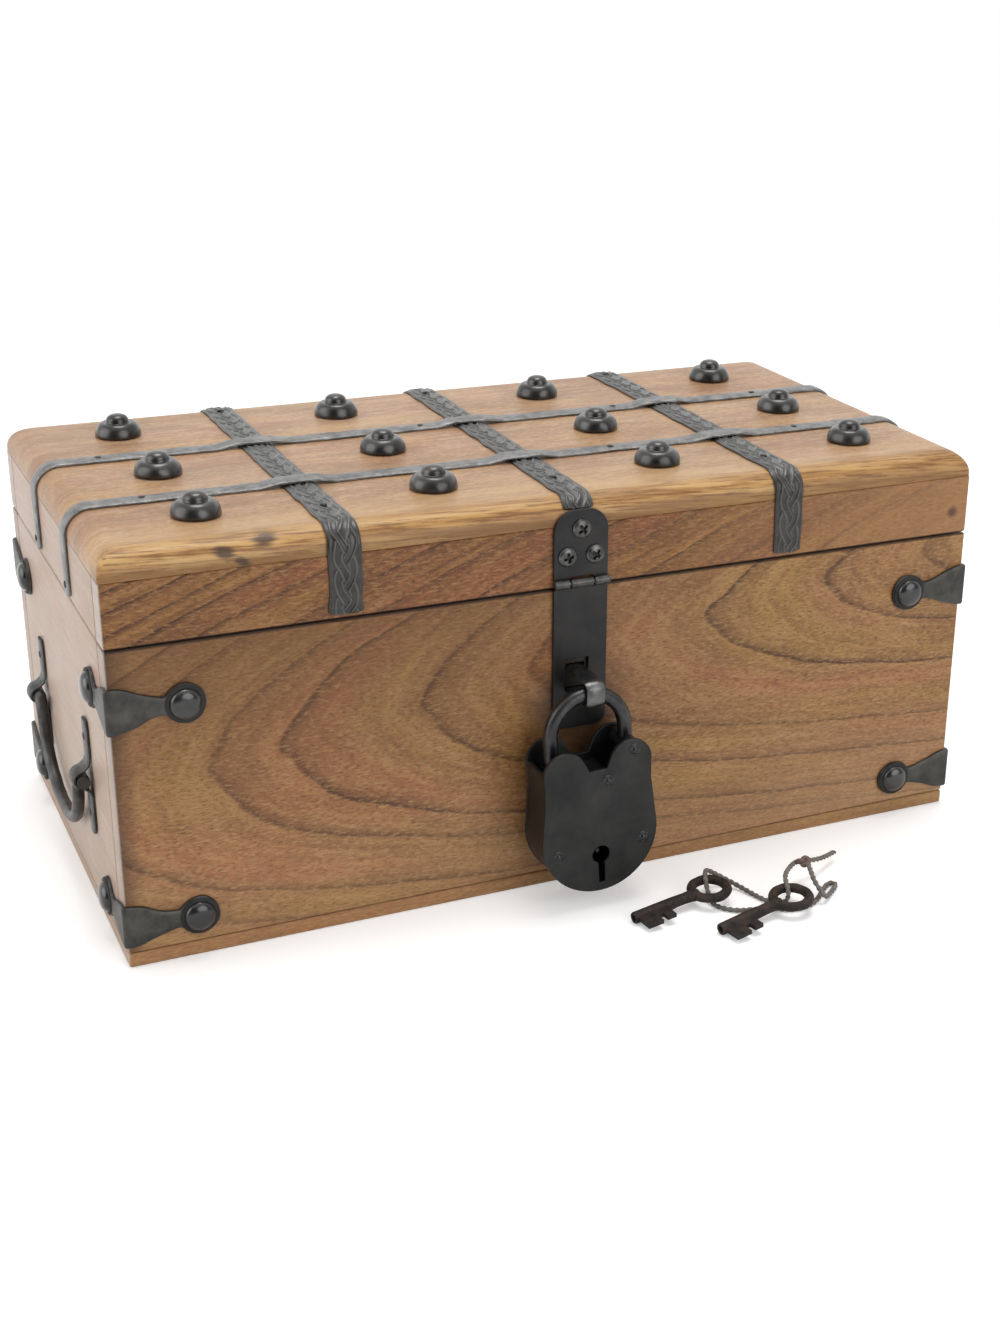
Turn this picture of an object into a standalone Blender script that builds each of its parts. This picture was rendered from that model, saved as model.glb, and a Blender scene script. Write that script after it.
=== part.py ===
"""Wooden treasure chest with iron straps, a hasp, an old padlock and two tied keys.

The origin is the middle of the chest's underside. The front, with the hasp,
faces -Y, +X is to its right and +Z is up. Lengths are metres, given as MM.
"""

import math

import bmesh
import bpy
from mathutils import Matrix, Vector

for old_object in list(bpy.data.objects):
    bpy.data.objects.remove(old_object, do_unlink=True)

MM = 0.001
FIT = 0.3 * MM

# Chest boards
CHEST_LENGTH = 360 * MM
CHEST_DEPTH = 184 * MM
BOX_HEIGHT = 126 * MM
BOARD = 11 * MM
BOTTOM_BOARD = 5.7 * MM
EDGE_BREAK = 0.6 * MM
SEAM = 0.6 * MM
RAIL_HEIGHT = 24.4 * MM
TOP_BOARD = 9.9 * MM
ROUND_OVER = 9.3 * MM
ROUND_STEPS = 6
CURVE_SHADE_ANGLE = math.radians(35)

HALF_LENGTH = CHEST_LENGTH / 2
HALF_DEPTH = CHEST_DEPTH / 2
RAIL_FOOT = BOX_HEIGHT + SEAM
RAIL_HEAD = RAIL_FOOT + RAIL_HEIGHT
LID_TOP = RAIL_HEAD + FIT + TOP_BOARD

# Lid straps
CROSS_STRAP_PLACES = {"left": -91.8 * MM, "middle": 1.4 * MM, "right": 92.8 * MM}
CROSS_STRAP_WIDTH = 12.6 * MM
CROSS_STRAP_THICK = 1.6 * MM
LONG_STRAP_PLACES = {"front": -38.4 * MM, "rear": 20.5 * MM}
LONG_STRAP_WIDTH = 8.4 * MM
LONG_STRAP_THICK = 1.5 * MM
STRAP_END_ABOVE_SEAM = 2 * MM
STRAP_RAMP = 3 * MM
STRAP_CROWN = 0.5 * MM

# Domed studs on the lid
STUD_FROM_LEFT = 43 * MM
STUD_FROM_RIGHT = 40 * MM
STUD_FROM_EDGE = 32 * MM
STUD_COLUMNS = (STUD_FROM_LEFT - HALF_LENGTH, -45 * MM, 50.5 * MM, HALF_LENGTH - STUD_FROM_RIGHT)
STUD_ROWS = {"front": STUD_FROM_EDGE - HALF_DEPTH, "middle": -3 * MM, "back": HALF_DEPTH - STUD_FROM_EDGE}
STUD_RADIUS = 9.2 * MM
STUD_HEIGHT = 5.4 * MM
CAP_RADIUS = 3.9 * MM
CAP_HEIGHT = 3.1 * MM

# Corner brackets
BRACKET_THICK = 1.2 * MM
BRACKET_ROOT = 17.6 * MM
BRACKET_NECK = 7.2 * MM
BRACKET_REACH = 27 * MM
WASHER_RADIUS = 7.7 * MM
BRACKET_HEIGHTS = {"upper": 103.2 * MM, "lower": 17.3 * MM}
BRACKET_STUD_RADIUS = 6.0 * MM
BRACKET_STUD_HEIGHT = 2.8 * MM

# End handles
HANDLE_EYE_HEIGHT = 59 * MM
HANDLE_EYE_SPREAD = 45 * MM
HANDLE_BAR_RADIUS = 2.4 * MM
HANDLE_BAR_STANDOFF = 3.9 * MM
HANDLE_DROP = 31.5 * MM
EYE_STRAP_WIDTH = 8.6 * MM
EYE_STRAP_THICK = 1.4 * MM
EYE_STRAP_REACH = 23.5 * MM
EYE_PLAY = 0.5 * MM

# Hasp and staple
HASP_WIDTH = 22.6 * MM
HASP_MIDDLE = 1.4 * MM
HASP_THICK = 1.2 * MM
HASP_BARREL_RADIUS = 1.9 * MM
HASP_PIN_RADIUS = 0.9 * MM
HASP_AXIS_ABOVE_SEAM = 1.9 * MM
HASP_LEAF_TOP = 29 * MM
HASP_FLAP_LENGTH = 60.5 * MM
HASP_LEAF_ROUND = 8.8 * MM
HASP_FLAP_ROUND = 4.5 * MM
HASP_KNUCKLES = (0, 0.28, 0.72, 1)
HASP_SCREWS = ((0, 21.4 * MM), (-5.8 * MM, 10.6 * MM), (5.8 * MM, 10.6 * MM))
SCREW_HEAD_RADIUS = 3.8 * MM
SCREW_HEAD_HEIGHT = 1.5 * MM
SCREW_SHANK_RADIUS = 1.5 * MM
SCREW_LENGTH = 8 * MM
STAPLE_WIDTH = 7.4 * MM
STAPLE_THICK = 1.3 * MM
STAPLE_EYE = 8.6 * MM
STAPLE_CLINCH = 7 * MM
SLOT_PLAY = 1.3 * MM

# Padlock
SHACKLE_BAR = 2.9 * MM
SHACKLE_ARCH = 15.7 * MM
SHACKLE_STANDOFF = 17.5 * MM
SHACKLE_TOP_HEIGHT = 88.4 * MM
FREE_LEG = 21 * MM
PIVOT_DROP = 7.5 * MM
LOCK_ROLL = math.radians(3.0)
LOCK_THICK = 18.6 * MM
LOCK_PLATE = 1.4 * MM
LOCK_WALL = 1.4 * MM
HUMP_RADIUS = 8.9 * MM
HUMP_DROP = 11.7 * MM
HUMP_SPREAD = 14.0 * MM
BODY_RADIUS = 24.5 * MM
BODY_DROP = 41 * MM
NOTCH_DROP = 12.9 * MM
NOTCH_HALF = 3.6 * MM
RIVET_RADIUS = 1.2 * MM
RIVET_HEAD = 2.5 * MM
LOCK_RIVETS = ((4 * MM, -18.3 * MM), (18.3 * MM, -46.3 * MM), (-18.3 * MM, -46.3 * MM))
KEYHOLE_DROP = 49.6 * MM
KEYHOLE_RADIUS = 3.7 * MM
KEYHOLE_SLOT_WIDTH = 2.6 * MM
KEYHOLE_SLOT_LENGTH = 12.4 * MM
POST_RADIUS = 0.95 * MM
BOLT_DROP = 17.5 * MM
BOLT_HEIGHT = 4 * MM
BOLT_LENGTH = 18 * MM
BOLT_BITE = 2.0 * MM

# Back hinges
HINGE_FROM_END = 56 * MM
HINGE_PLACES = {"left": HINGE_FROM_END - HALF_LENGTH, "right": HALF_LENGTH - HINGE_FROM_END}
HINGE_WIDTH = 30 * MM
HINGE_LEAF = 20 * MM
HINGE_THICK = 1.4 * MM
HINGE_BARREL_RADIUS = 2.9 * MM
HINGE_PIN_RADIUS = 1.4 * MM
HINGE_SCREW_RADIUS = 2.6 * MM
HINGE_SCREW_SPREAD = 9.6 * MM
HINGE_SCREW_RISE = 11 * MM
HINGE_KNUCKLES = (0, 0.3, 0.7, 1)

# Keys and their string
KEY_LENGTH = 36 * MM
KEY_BARREL_RADIUS = 2.3 * MM
KEY_BORE_RADIUS = 1.35 * MM
KEY_BORE_DEPTH = 12 * MM
BOW_RING_RADIUS = 7.4 * MM
BOW_BAR_RADIUS = 1.8 * MM
BIT_WIDTH = 13.5 * MM
BIT_REACH = 9.2 * MM
BIT_THICK = 2 * MM
BIT_NOTCH = 2.4 * MM
BIT_NOTCH_PLACE = 7.0 * MM
BIT_NOTCH_ROOT = 5.1 * MM
BIT_FROM_END = 1.2 * MM
BIT_STEP = 0.9 * MM
BOW_SQUASH = 0.94
BOW_LIFT = 5.4 * MM
KEY_PLACES = {
    "key_1": {"end": (6.5 * MM, -136.2 * MM), "turn": math.radians(7.2)},
    "key_2": {"end": (33.5 * MM, -157.6 * MM), "turn": math.radians(11.0)},
}
STRING_RADIUS = 0.9 * MM
STRING_ROUTE = (
    (106.6, -121.5, 4.0), (100.8, -125.2, 5.2), (94.5, -128.6, 6.6), (88.0, -130.6, 8.2),
    (82.6, -131.4, 9.2), (78.4, -134.2, 9.8), (73.2, -138.8, 9.8), (70.4, -143.2, 9.3),
    (69.6, -147.0, 6.6), (68.6, -148.0, 2.6), (65.6, -145.6, 1.1), (62.4, -141.6, 1.0),
    (60.2, -135.2, 1.2), (57.4, -128.4, 2.0), (53.8, -123.6, 3.6), (49.4, -121.4, 6.2),
    (45.0, -122.8, 8.9), (42.8, -127.2, 7.6), (41.8, -131.6, 3.6), (41.8, -136.0, 1.3),
    (43.6, -140.8, 1.0), (48.6, -144.9, 1.0), (54.8, -146.6, 1.0), (61.0, -148.4, 1.0),
    (67.4, -152.0, 1.0), (74.0, -153.0, 1.0), (80.6, -150.4, 1.0), (86.4, -145.2, 1.0),
    (91.2, -140.8, 1.0), (94.4, -139.6, 1.2), (95.4, -141.8, 1.4), (92.6, -144.6, 1.4),
    (88.2, -148.4, 1.6), (84.6, -151.4, 2.6), (82.4, -151.2, 5.6), (81.6, -147.0, 8.4),
    (83.0, -141.6, 10.0), (84.6, -136.4, 10.8),
)


def material(name, colour, roughness, metallic):
    """Make a plain Principled material."""
    made = bpy.data.materials.new(name)
    made.use_nodes = True
    shader = made.node_tree.nodes["Principled BSDF"]
    shader.inputs["Base Color"].default_value = (*colour, 1)
    shader.inputs["Roughness"].default_value = roughness
    shader.inputs["Metallic"].default_value = metallic
    return made


def front_wood(name):
    """Mid-brown oiled hardwood."""
    return material(name, (0.30, 0.16, 0.08), 0.5, 0.0)


def pale_wood(name):
    """Paler tan face of the same hardwood."""
    return material(name, (0.48, 0.31, 0.18), 0.55, 0.0)


def iron(name):
    """Blackened wrought iron."""
    return material(name, (0.045, 0.045, 0.05), 0.45, 0.9)


def domed_iron(name):
    """Polished dark heads."""
    return material(name, (0.06, 0.06, 0.065), 0.25, 0.95)


def steel(name):
    """Bright worn steel of pins and screws."""
    return material(name, (0.2, 0.2, 0.21), 0.3, 1.0)


def finish(name, mesh_data, make_material, axis_point=None, smooth=True):
    """Turn a bmesh into an object, with its origin on its joint's axis if it has one."""
    bmesh.ops.recalc_face_normals(mesh_data, faces=mesh_data.faces)
    origin = Vector(axis_point) if axis_point is not None else Vector((0, 0, 0))
    bmesh.ops.translate(mesh_data, verts=mesh_data.verts, vec=-origin)
    mesh = bpy.data.meshes.new(name)
    mesh_data.to_mesh(mesh)
    mesh_data.free()
    made = bpy.data.objects.new(name, mesh)
    made.location = origin
    bpy.context.collection.objects.link(made)
    mesh.materials.append(make_material(name))
    if smooth:
        mesh.shade_smooth()
        mesh.set_sharp_from_angle(angle=CURVE_SHADE_ANGLE)
    return made


def add_block(mesh_data, low, high):
    """Add a box between two corners and return its vertices."""
    made = bmesh.ops.create_cube(mesh_data, size=1)["verts"]
    low, high = Vector(low), Vector(high)
    size = high - low
    bmesh.ops.scale(mesh_data, verts=made, vec=size)
    bmesh.ops.translate(mesh_data, verts=made, vec=(low + high) / 2)
    return made


def add_prism(mesh_data, outline, start, length, place):
    """Extrude a flat outline of (u, v) points; place(u, v, w) gives the 3-D point."""
    ring = [mesh_data.verts.new(place(u, v, start)) for u, v in outline]
    face = mesh_data.faces.new(ring)
    moved = bmesh.ops.extrude_face_region(mesh_data, geom=[face])
    tops = [item for item in moved["geom"] if isinstance(item, bmesh.types.BMVert)]
    shift = Vector(place(0, 0, start + length)) - Vector(place(0, 0, start))
    bmesh.ops.translate(mesh_data, verts=tops, vec=shift)


def add_turned(mesh_data, profile, place, steps):
    """Revolve (radius, height) points round an axis; the ends close on the axis."""
    rings = []
    for radius, height in profile:
        if radius == 0:
            rings.append([mesh_data.verts.new(place(0, 0, height))])
            continue
        ring = []
        for step in range(steps):
            angle = 2 * math.pi * step / steps
            point = place(radius * math.cos(angle), radius * math.sin(angle), height)
            ring.append(mesh_data.verts.new(point))
        rings.append(ring)
    for lower, upper in zip(rings, rings[1:]):
        for step in range(steps):
            after = (step + 1) % steps
            if len(lower) == 1:
                corners = (lower[0], upper[step], upper[after])
            elif len(upper) == 1:
                corners = (lower[step], lower[after], upper[0])
            else:
                corners = (lower[step], lower[after], upper[after], upper[step])
            mesh_data.faces.new(corners)


def add_bar(mesh_data, path, radius, sides, side_axis):
    """Sweep a round bar along a flat path whose plane is square to side_axis."""
    side = Vector(side_axis).normalized()
    points = [Vector(point) for point in path]
    rings = []
    for index, point in enumerate(points):
        before = points[max(index - 1, 0)]
        after = points[min(index + 1, len(points) - 1)]
        along = (after - before).normalized()
        out = along.cross(side).normalized()
        ring = []
        for step in range(sides):
            angle = 2 * math.pi * (step + 0.5) / sides
            offset = (math.cos(angle) * side + math.sin(angle) * out) * radius
            ring.append(mesh_data.verts.new(point + offset))
        rings.append(ring)
    for lower, upper in zip(rings, rings[1:]):
        for step in range(sides):
            after = (step + 1) % sides
            mesh_data.faces.new((lower[step], lower[after], upper[after], upper[step]))
    mesh_data.faces.new(rings[0])
    mesh_data.faces.new(rings[-1])


def offset_path(path, distance):
    """Move a 2-D path to its left by a distance, with mitred corners."""
    moved = []
    for index, point in enumerate(path):
        before = Vector(path[max(index - 1, 0)])
        here = Vector(point)
        after = Vector(path[min(index + 1, len(path) - 1)])
        first = (here - before).normalized() if index > 0 else (after - here).normalized()
        second = (after - here).normalized() if index < len(path) - 1 else first
        normal_1 = Vector((-first.y, first.x))
        normal_2 = Vector((-second.y, second.x))
        middle = (normal_1 + normal_2).normalized()
        moved.append(here + middle * (distance / max(middle.dot(normal_1), 0.3)))
    return [(point.x, point.y) for point in moved]


def add_strap(mesh_data, path, thickness, width, place, crown=0.0):
    """Bend a flat strap along a 2-D path of its inner face, with eased outer edges."""
    shoulder = offset_path(path, max(thickness - crown, thickness * 0.4))
    outer = offset_path(path, thickness)
    half = width / 2
    inset = half - min(crown * 2.5, half / 2)
    rings = []
    for inner_point, shoulder_point, outer_point in zip(path, shoulder, outer):
        corners = [(inner_point, -half), (inner_point, half)]
        if crown > 0:
            corners += [(shoulder_point, half), (outer_point, inset)]
            corners += [(outer_point, -inset), (shoulder_point, -half)]
        else:
            corners += [(outer_point, half), (outer_point, -half)]
        rings.append([mesh_data.verts.new(place(*point, across)) for point, across in corners])
    count = len(rings[0])
    for lower, upper in zip(rings, rings[1:]):
        for step in range(count):
            after = (step + 1) % count
            mesh_data.faces.new((lower[step], lower[after], upper[after], upper[step]))
    mesh_data.faces.new(rings[0])
    mesh_data.faces.new(rings[-1])


def arc(centre, radius, start, end, steps):
    """Points on an arc from one angle to another, in degrees."""
    points = []
    for step in range(steps + 1):
        angle = math.radians(start + (end - start) * step / steps)
        points.append((centre[0] + radius * math.cos(angle), centre[1] + radius * math.sin(angle)))
    return points


def tool(name, mesh_data):
    """Make a hidden cutting or joining body."""
    made = finish(name, mesh_data, steel, smooth=False)
    made.hide_render = True
    made.display_type = "WIRE"
    return made


def combine(target, other, operation):
    """Cut or join a hidden body with an exact Boolean."""
    modifier = target.modifiers.new(other.name, "BOOLEAN")
    modifier.operation = operation
    modifier.solver = "EXACT"
    modifier.object = other


def soften(target, width):
    """Break a board's sharp edges."""
    modifier = target.modifiers.new("edge_break", "BEVEL")
    modifier.width = width
    modifier.segments = 1
    modifier.limit_method = "ANGLE"
    modifier.angle_limit = math.radians(60)


def dome_profile(radius, height, rings):
    """Half of a flat-based dome, from the middle of its base to its crown."""
    profile = [(0, 0)]
    for step in range(rings):
        angle = math.pi / 2 * step / rings
        profile.append((radius * math.cos(angle), height * math.sin(angle)))
    profile.append((0, height))
    return profile


# Boards of the box
def board(name, low, high, make_material):
    """One planed board with broken edges."""
    mesh_data = bmesh.new()
    add_block(mesh_data, low, high)
    made = finish(name, mesh_data, make_material, smooth=False)
    soften(made, EDGE_BREAK)
    return made


wall_foot = BOTTOM_BOARD + FIT
front_board = board("front_board", (-HALF_LENGTH, -HALF_DEPTH, wall_foot),
                    (HALF_LENGTH, -HALF_DEPTH + BOARD, BOX_HEIGHT), front_wood)
back_board = board("back_board", (-HALF_LENGTH, HALF_DEPTH - BOARD, wall_foot),
                   (HALF_LENGTH, HALF_DEPTH, BOX_HEIGHT), front_wood)
end_reach = HALF_DEPTH - BOARD - FIT
for side_name, side in (("left", -1), ("right", 1)):
    across = sorted((side * HALF_LENGTH, side * (HALF_LENGTH - BOARD)))
    board(side_name + "_end_board", (across[0], -end_reach, wall_foot),
          (across[1], end_reach, BOX_HEIGHT), pale_wood)
board("bottom_board", (-HALF_LENGTH, -HALF_DEPTH, 0),
      (HALF_LENGTH, HALF_DEPTH, BOTTOM_BOARD), front_wood)

# Frame and top board of the lid
lid_front_rail = board("lid_front_rail", (-HALF_LENGTH, -HALF_DEPTH, RAIL_FOOT),
                       (HALF_LENGTH, -HALF_DEPTH + BOARD, RAIL_HEAD), front_wood)
lid_back_rail = board("lid_back_rail", (-HALF_LENGTH, HALF_DEPTH - BOARD, RAIL_FOOT),
                      (HALF_LENGTH, HALF_DEPTH, RAIL_HEAD), front_wood)
for side_name, side in (("left", -1), ("right", 1)):
    across = sorted((side * HALF_LENGTH, side * (HALF_LENGTH - BOARD)))
    board("lid_" + side_name + "_rail", (across[0], -end_reach, RAIL_FOOT),
          (across[1], end_reach, RAIL_HEAD), pale_wood)

top_mesh = bmesh.new()
add_block(top_mesh, (-HALF_LENGTH, -HALF_DEPTH, RAIL_HEAD + FIT), (HALF_LENGTH, HALF_DEPTH, LID_TOP))
top_edges = [edge for edge in top_mesh.edges if all(v.co.z > LID_TOP - FIT for v in edge.verts)]
bmesh.ops.bevel(top_mesh, geom=top_edges, offset=ROUND_OVER, segments=ROUND_STEPS,
                profile=0.5, affect="EDGES")
lid_top_board = finish("lid_top_board", top_mesh, pale_wood)


# Straps over the lid
def corner_arc(corner_u, rise):
    """Strap path round the lid's rounded edge, from the wall up on to the top."""
    centre = (corner_u, LID_TOP - ROUND_OVER)
    return arc(centre, ROUND_OVER + rise, 180, 90, ROUND_STEPS)


def mirrored(path):
    """The same path seen from its far end."""
    return [(-u, v) for u, v in reversed(path)]


def cross_strap(name, place_x, from_height):
    """A strap over the lid from the front, along the top and down the back."""
    far = corner_arc(-(HALF_DEPTH - ROUND_OVER), FIT)
    start = RAIL_FOOT + STRAP_END_ABOVE_SEAM
    back = mirrored([(-(HALF_DEPTH + FIT), start)] + far)
    front = [point for point in far if point[1] >= from_height]
    if from_height < far[0][1]:
        front = [(-(HALF_DEPTH + FIT), from_height)] + far
    mesh_data = bmesh.new()
    add_strap(mesh_data, front + back, CROSS_STRAP_THICK, CROSS_STRAP_WIDTH,
              lambda u, v, w: (place_x + w, u, v), STRAP_CROWN)
    return finish(name, mesh_data, iron)


hasp_axis_height = RAIL_FOOT + HASP_AXIS_ABOVE_SEAM
leaf_top = hasp_axis_height + HASP_LEAF_TOP
for strap_name, strap_x in CROSS_STRAP_PLACES.items():
    foot = leaf_top + FIT if strap_name == "middle" else RAIL_FOOT + STRAP_END_ABOVE_SEAM
    cross_strap("cross_strap_" + strap_name, strap_x, foot)


def long_strap(name, place_y):
    """A strap along the lid, stepped over the cross straps and down both ends."""
    wall = (-(HALF_LENGTH + FIT), RAIL_FOOT + STRAP_END_ABOVE_SEAM)
    near = [wall] + corner_arc(-(HALF_LENGTH - ROUND_OVER), FIT)
    level = LID_TOP + FIT
    raised = level + CROSS_STRAP_THICK + FIT
    clear = CROSS_STRAP_WIDTH / 2 + 2 * FIT
    path = list(near)
    for strap_x in sorted(CROSS_STRAP_PLACES.values()):
        path.append((strap_x - clear - STRAP_RAMP, level))
        path.append((strap_x - clear, raised))
        path.append((strap_x + clear, raised))
        path.append((strap_x + clear + STRAP_RAMP, level))
    path += mirrored(near)
    mesh_data = bmesh.new()
    add_strap(mesh_data, path, LONG_STRAP_THICK, LONG_STRAP_WIDTH,
              lambda u, v, w: (u, place_y + w, v), STRAP_CROWN)
    return finish(name, mesh_data, iron)


for strap_name, strap_y in LONG_STRAP_PLACES.items():
    long_strap("long_strap_" + strap_name, strap_y)


def upright(x, y, z):
    """Place a turned shape standing up at a point."""
    return lambda a, b, h: (x + a, y + b, z + h)


# Stepped studs on the lid: a wide low cup with a small dome on it, forged in one
stud_profile = [(0, 0), (STUD_RADIUS * 0.97, 0), (STUD_RADIUS, STUD_HEIGHT * 0.22),
                (STUD_RADIUS * 0.93, STUD_HEIGHT * 0.55), (STUD_RADIUS * 0.74, STUD_HEIGHT * 0.86),
                (CAP_RADIUS * 1.1, STUD_HEIGHT)]
stud_profile += [(radius, STUD_HEIGHT + height)
                 for radius, height in dome_profile(CAP_RADIUS, CAP_HEIGHT, 2)[1:]]
for row_name, stud_y in STUD_ROWS.items():
    for column, stud_x in enumerate(STUD_COLUMNS, 1):
        stud_mesh = bmesh.new()
        add_turned(stud_mesh, stud_profile, upright(stud_x, stud_y, LID_TOP + FIT), 16)
        finish("lid_stud_" + row_name + "_" + str(column), stud_mesh, domed_iron)


# Corner brackets and their studs
def bracket_arm():
    """Stations (distance from the corner, half height) along one arm to its washer."""
    stations = []
    neck_turn = math.asin(BRACKET_NECK / 2 / WASHER_RADIUS)
    neck = BRACKET_REACH - WASHER_RADIUS * math.cos(neck_turn)
    flare_steps = 4
    for step in range(flare_steps):
        share = step / flare_steps
        ease = (1 + math.cos(math.pi * share)) / 2
        half = BRACKET_NECK / 2 + (BRACKET_ROOT - BRACKET_NECK) / 2 * ease
        stations.append((neck * share, half))
    washer_steps = 6
    washer_turn = math.radians(172) - neck_turn
    for step in range(washer_steps + 1):
        angle = neck_turn + washer_turn * step / washer_steps
        along = BRACKET_REACH - WASHER_RADIUS * math.cos(angle)
        stations.append((along, WASHER_RADIUS * math.sin(angle)))
    return stations


def bracket(name, side_x, side_y, height):
    """A wrought plate bent round one upright corner of the box."""
    arm = bracket_arm()
    mesh_data = bmesh.new()
    near = FIT
    far = FIT + BRACKET_THICK

    def ring(inner, outer, half):
        points = [(*inner, height - half), (*inner, height + half)]
        points += [(*outer, height + half), (*outer, height - half)]
        return [mesh_data.verts.new((side_x * x, side_y * y, z)) for x, y, z in points]

    rings = []
    for along, half in reversed(arm[1:]):
        inner = (HALF_LENGTH - along, HALF_DEPTH + near)
        outer = (HALF_LENGTH - along, HALF_DEPTH + far)
        rings.append(ring(inner, outer, half))
    corner_in = (HALF_LENGTH + near, HALF_DEPTH + near)
    corner_out = (HALF_LENGTH + far, HALF_DEPTH + far)
    rings.append(ring(corner_in, corner_out, arm[0][1]))
    for along, half in arm[1:]:
        inner = (HALF_LENGTH + near, HALF_DEPTH - along)
        outer = (HALF_LENGTH + far, HALF_DEPTH - along)
        rings.append(ring(inner, outer, half))
    for lower, upper in zip(rings, rings[1:]):
        for step in range(4):
            after = (step + 1) % 4
            mesh_data.faces.new((lower[step], lower[after], upper[after], upper[step]))
    mesh_data.faces.new(rings[0])
    mesh_data.faces.new(rings[-1])
    made = finish(name, mesh_data, iron)
    root = FIT + BRACKET_THICK / 2
    face_x = side_x * (HALF_LENGTH - BRACKET_REACH)
    face_y = side_y * (HALF_DEPTH + root)
    end_x = side_x * (HALF_LENGTH + root)
    end_y = side_y * (HALF_DEPTH - BRACKET_REACH)
    domes = {"face": lambda a, b, h: (face_x + a, face_y + side_y * h, height + b),
             "end": lambda a, b, h: (end_x + side_x * h, end_y + a, height + b)}
    dome = dome_profile(BRACKET_STUD_RADIUS, BRACKET_STUD_HEIGHT + BRACKET_THICK / 2, 3)
    for dome_name, place in domes.items():
        dome_mesh = bmesh.new()
        add_turned(dome_mesh, dome, place, 14)
        combine(made, tool(name + "_stud_" + dome_name, dome_mesh), "UNION")
    return made


for depth_name, side_y in (("front", -1), ("back", 1)):
    for side_name, side_x in (("left", -1), ("right", 1)):
        for level_name, level in BRACKET_HEIGHTS.items():
            bracket("bracket_" + depth_name + "_" + side_name + "_" + level_name,
                    side_x, side_y, level)


# End handles: two eye straps and a swinging bail on each end
def eye_strap_path():
    """Inner face of the strap: flat foot, humped over the bar, flat foot."""
    hump = HANDLE_BAR_RADIUS + EYE_PLAY
    over = arc((HANDLE_BAR_STANDOFF, 0), hump, 62, -62, 6)
    foot_start = hump * 2.6
    path = [(FIT, EYE_STRAP_REACH), (FIT, foot_start), (FIT * 4, hump * 1.75)]
    path += [(HANDLE_BAR_STANDOFF - hump * 0.2, hump * 1.12)] + over
    path += [(HANDLE_BAR_STANDOFF - hump * 0.2, -hump * 1.12)]
    path += [(FIT * 4, -hump * 1.75), (FIT, -foot_start), (FIT, -EYE_STRAP_REACH)]
    return path


def bail_path():
    """One bar: stub through an eye, a bowed loop below, and the other stub."""
    stub_end = HANDLE_EYE_SPREAD + EYE_STRAP_WIDTH / 2 + HANDLE_BAR_RADIUS
    shoulder = HANDLE_EYE_SPREAD - EYE_STRAP_WIDTH / 2 - 3 * FIT
    bow = shoulder - HANDLE_BAR_RADIUS - EYE_PLAY
    path = [(stub_end, 0), (shoulder, 0)]
    bow_steps = 18
    for step in range(1, bow_steps):
        angle = math.pi * step / bow_steps
        reach = math.copysign(abs(math.cos(angle)) ** 0.8, math.cos(angle))
        path.append((bow * reach, -HANDLE_DROP * math.sin(angle) ** 0.9))
    path += [(-shoulder, 0), (-stub_end, 0)]
    return path


for side_name, side in (("left", -1), ("right", 1)):
    wall_x = side * HALF_LENGTH
    for depth_name, place_y in (("front", -HANDLE_EYE_SPREAD), ("back", HANDLE_EYE_SPREAD)):
        strap_mesh = bmesh.new()
        add_strap(strap_mesh, eye_strap_path(), EYE_STRAP_THICK, EYE_STRAP_WIDTH,
                  lambda u, v, w: (wall_x + side * u, place_y + w, HANDLE_EYE_HEIGHT + v))
        finish("handle_" + side_name + "_eye_" + depth_name, strap_mesh, iron)
    bar_x = wall_x + side * HANDLE_BAR_STANDOFF
    bail_mesh = bmesh.new()
    bail_line = [(bar_x, y, HANDLE_EYE_HEIGHT + z) for y, z in bail_path()]
    add_bar(bail_mesh, bail_line, HANDLE_BAR_RADIUS, 10, (1, 0, 0))
    finish("handle_" + side_name + "_bail", bail_mesh, iron, (bar_x, 0, HANDLE_EYE_HEIGHT))

# Hasp: a leaf screwed to the lid, a pin, and a flap slotted for the staple
hasp_axis_y = -(HALF_DEPTH + FIT + HASP_BARREL_RADIUS)
hasp_axis = (HASP_MIDDLE, hasp_axis_y, hasp_axis_height)
plate_back = -(HALF_DEPTH + FIT)
knuckle_edges = [HASP_MIDDLE + HASP_WIDTH * (share - 0.5) for share in HASP_KNUCKLES]


def barrel(mesh_data, start, end, radius, bore, axis_y, axis_z, steps=14):
    """A hollow knuckle along X."""
    rings = []
    for ring_radius, along in ((bore, start), (radius, start), (radius, end), (bore, end)):
        ring = []
        for step in range(steps):
            angle = 2 * math.pi * step / steps
            spot = (along, axis_y + ring_radius * math.cos(angle),
                    axis_z + ring_radius * math.sin(angle))
            ring.append(mesh_data.verts.new(spot))
        rings.append(ring)
    for index in range(4):
        lower, upper = rings[index], rings[(index + 1) % 4]
        for step in range(steps):
            after = (step + 1) % steps
            mesh_data.faces.new((lower[step], lower[after], upper[after], upper[step]))


def rod(mesh_data, start, end, radius, axis_y, axis_z, steps=12):
    """A solid pin along X."""
    add_turned(mesh_data, [(0, start), (radius, start), (radius, end), (0, end)],
               lambda a, b, h: (h, axis_y + a, axis_z + b), steps)


def joined_knuckles(target, name, spans, radius, bore, axis_y, axis_z):
    """Weld hinge knuckles to a plate; a bore of 0 leaves them solid."""
    for index, (start, end) in enumerate(spans):
        knuckle = bmesh.new()
        if bore > 0:
            barrel(knuckle, start, end, radius, bore, axis_y, axis_z)
        else:
            rod(knuckle, start, end, radius, axis_y, axis_z, 14)
        combine(target, tool(name + "_knuckle_" + str(index), knuckle), "UNION")


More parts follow.
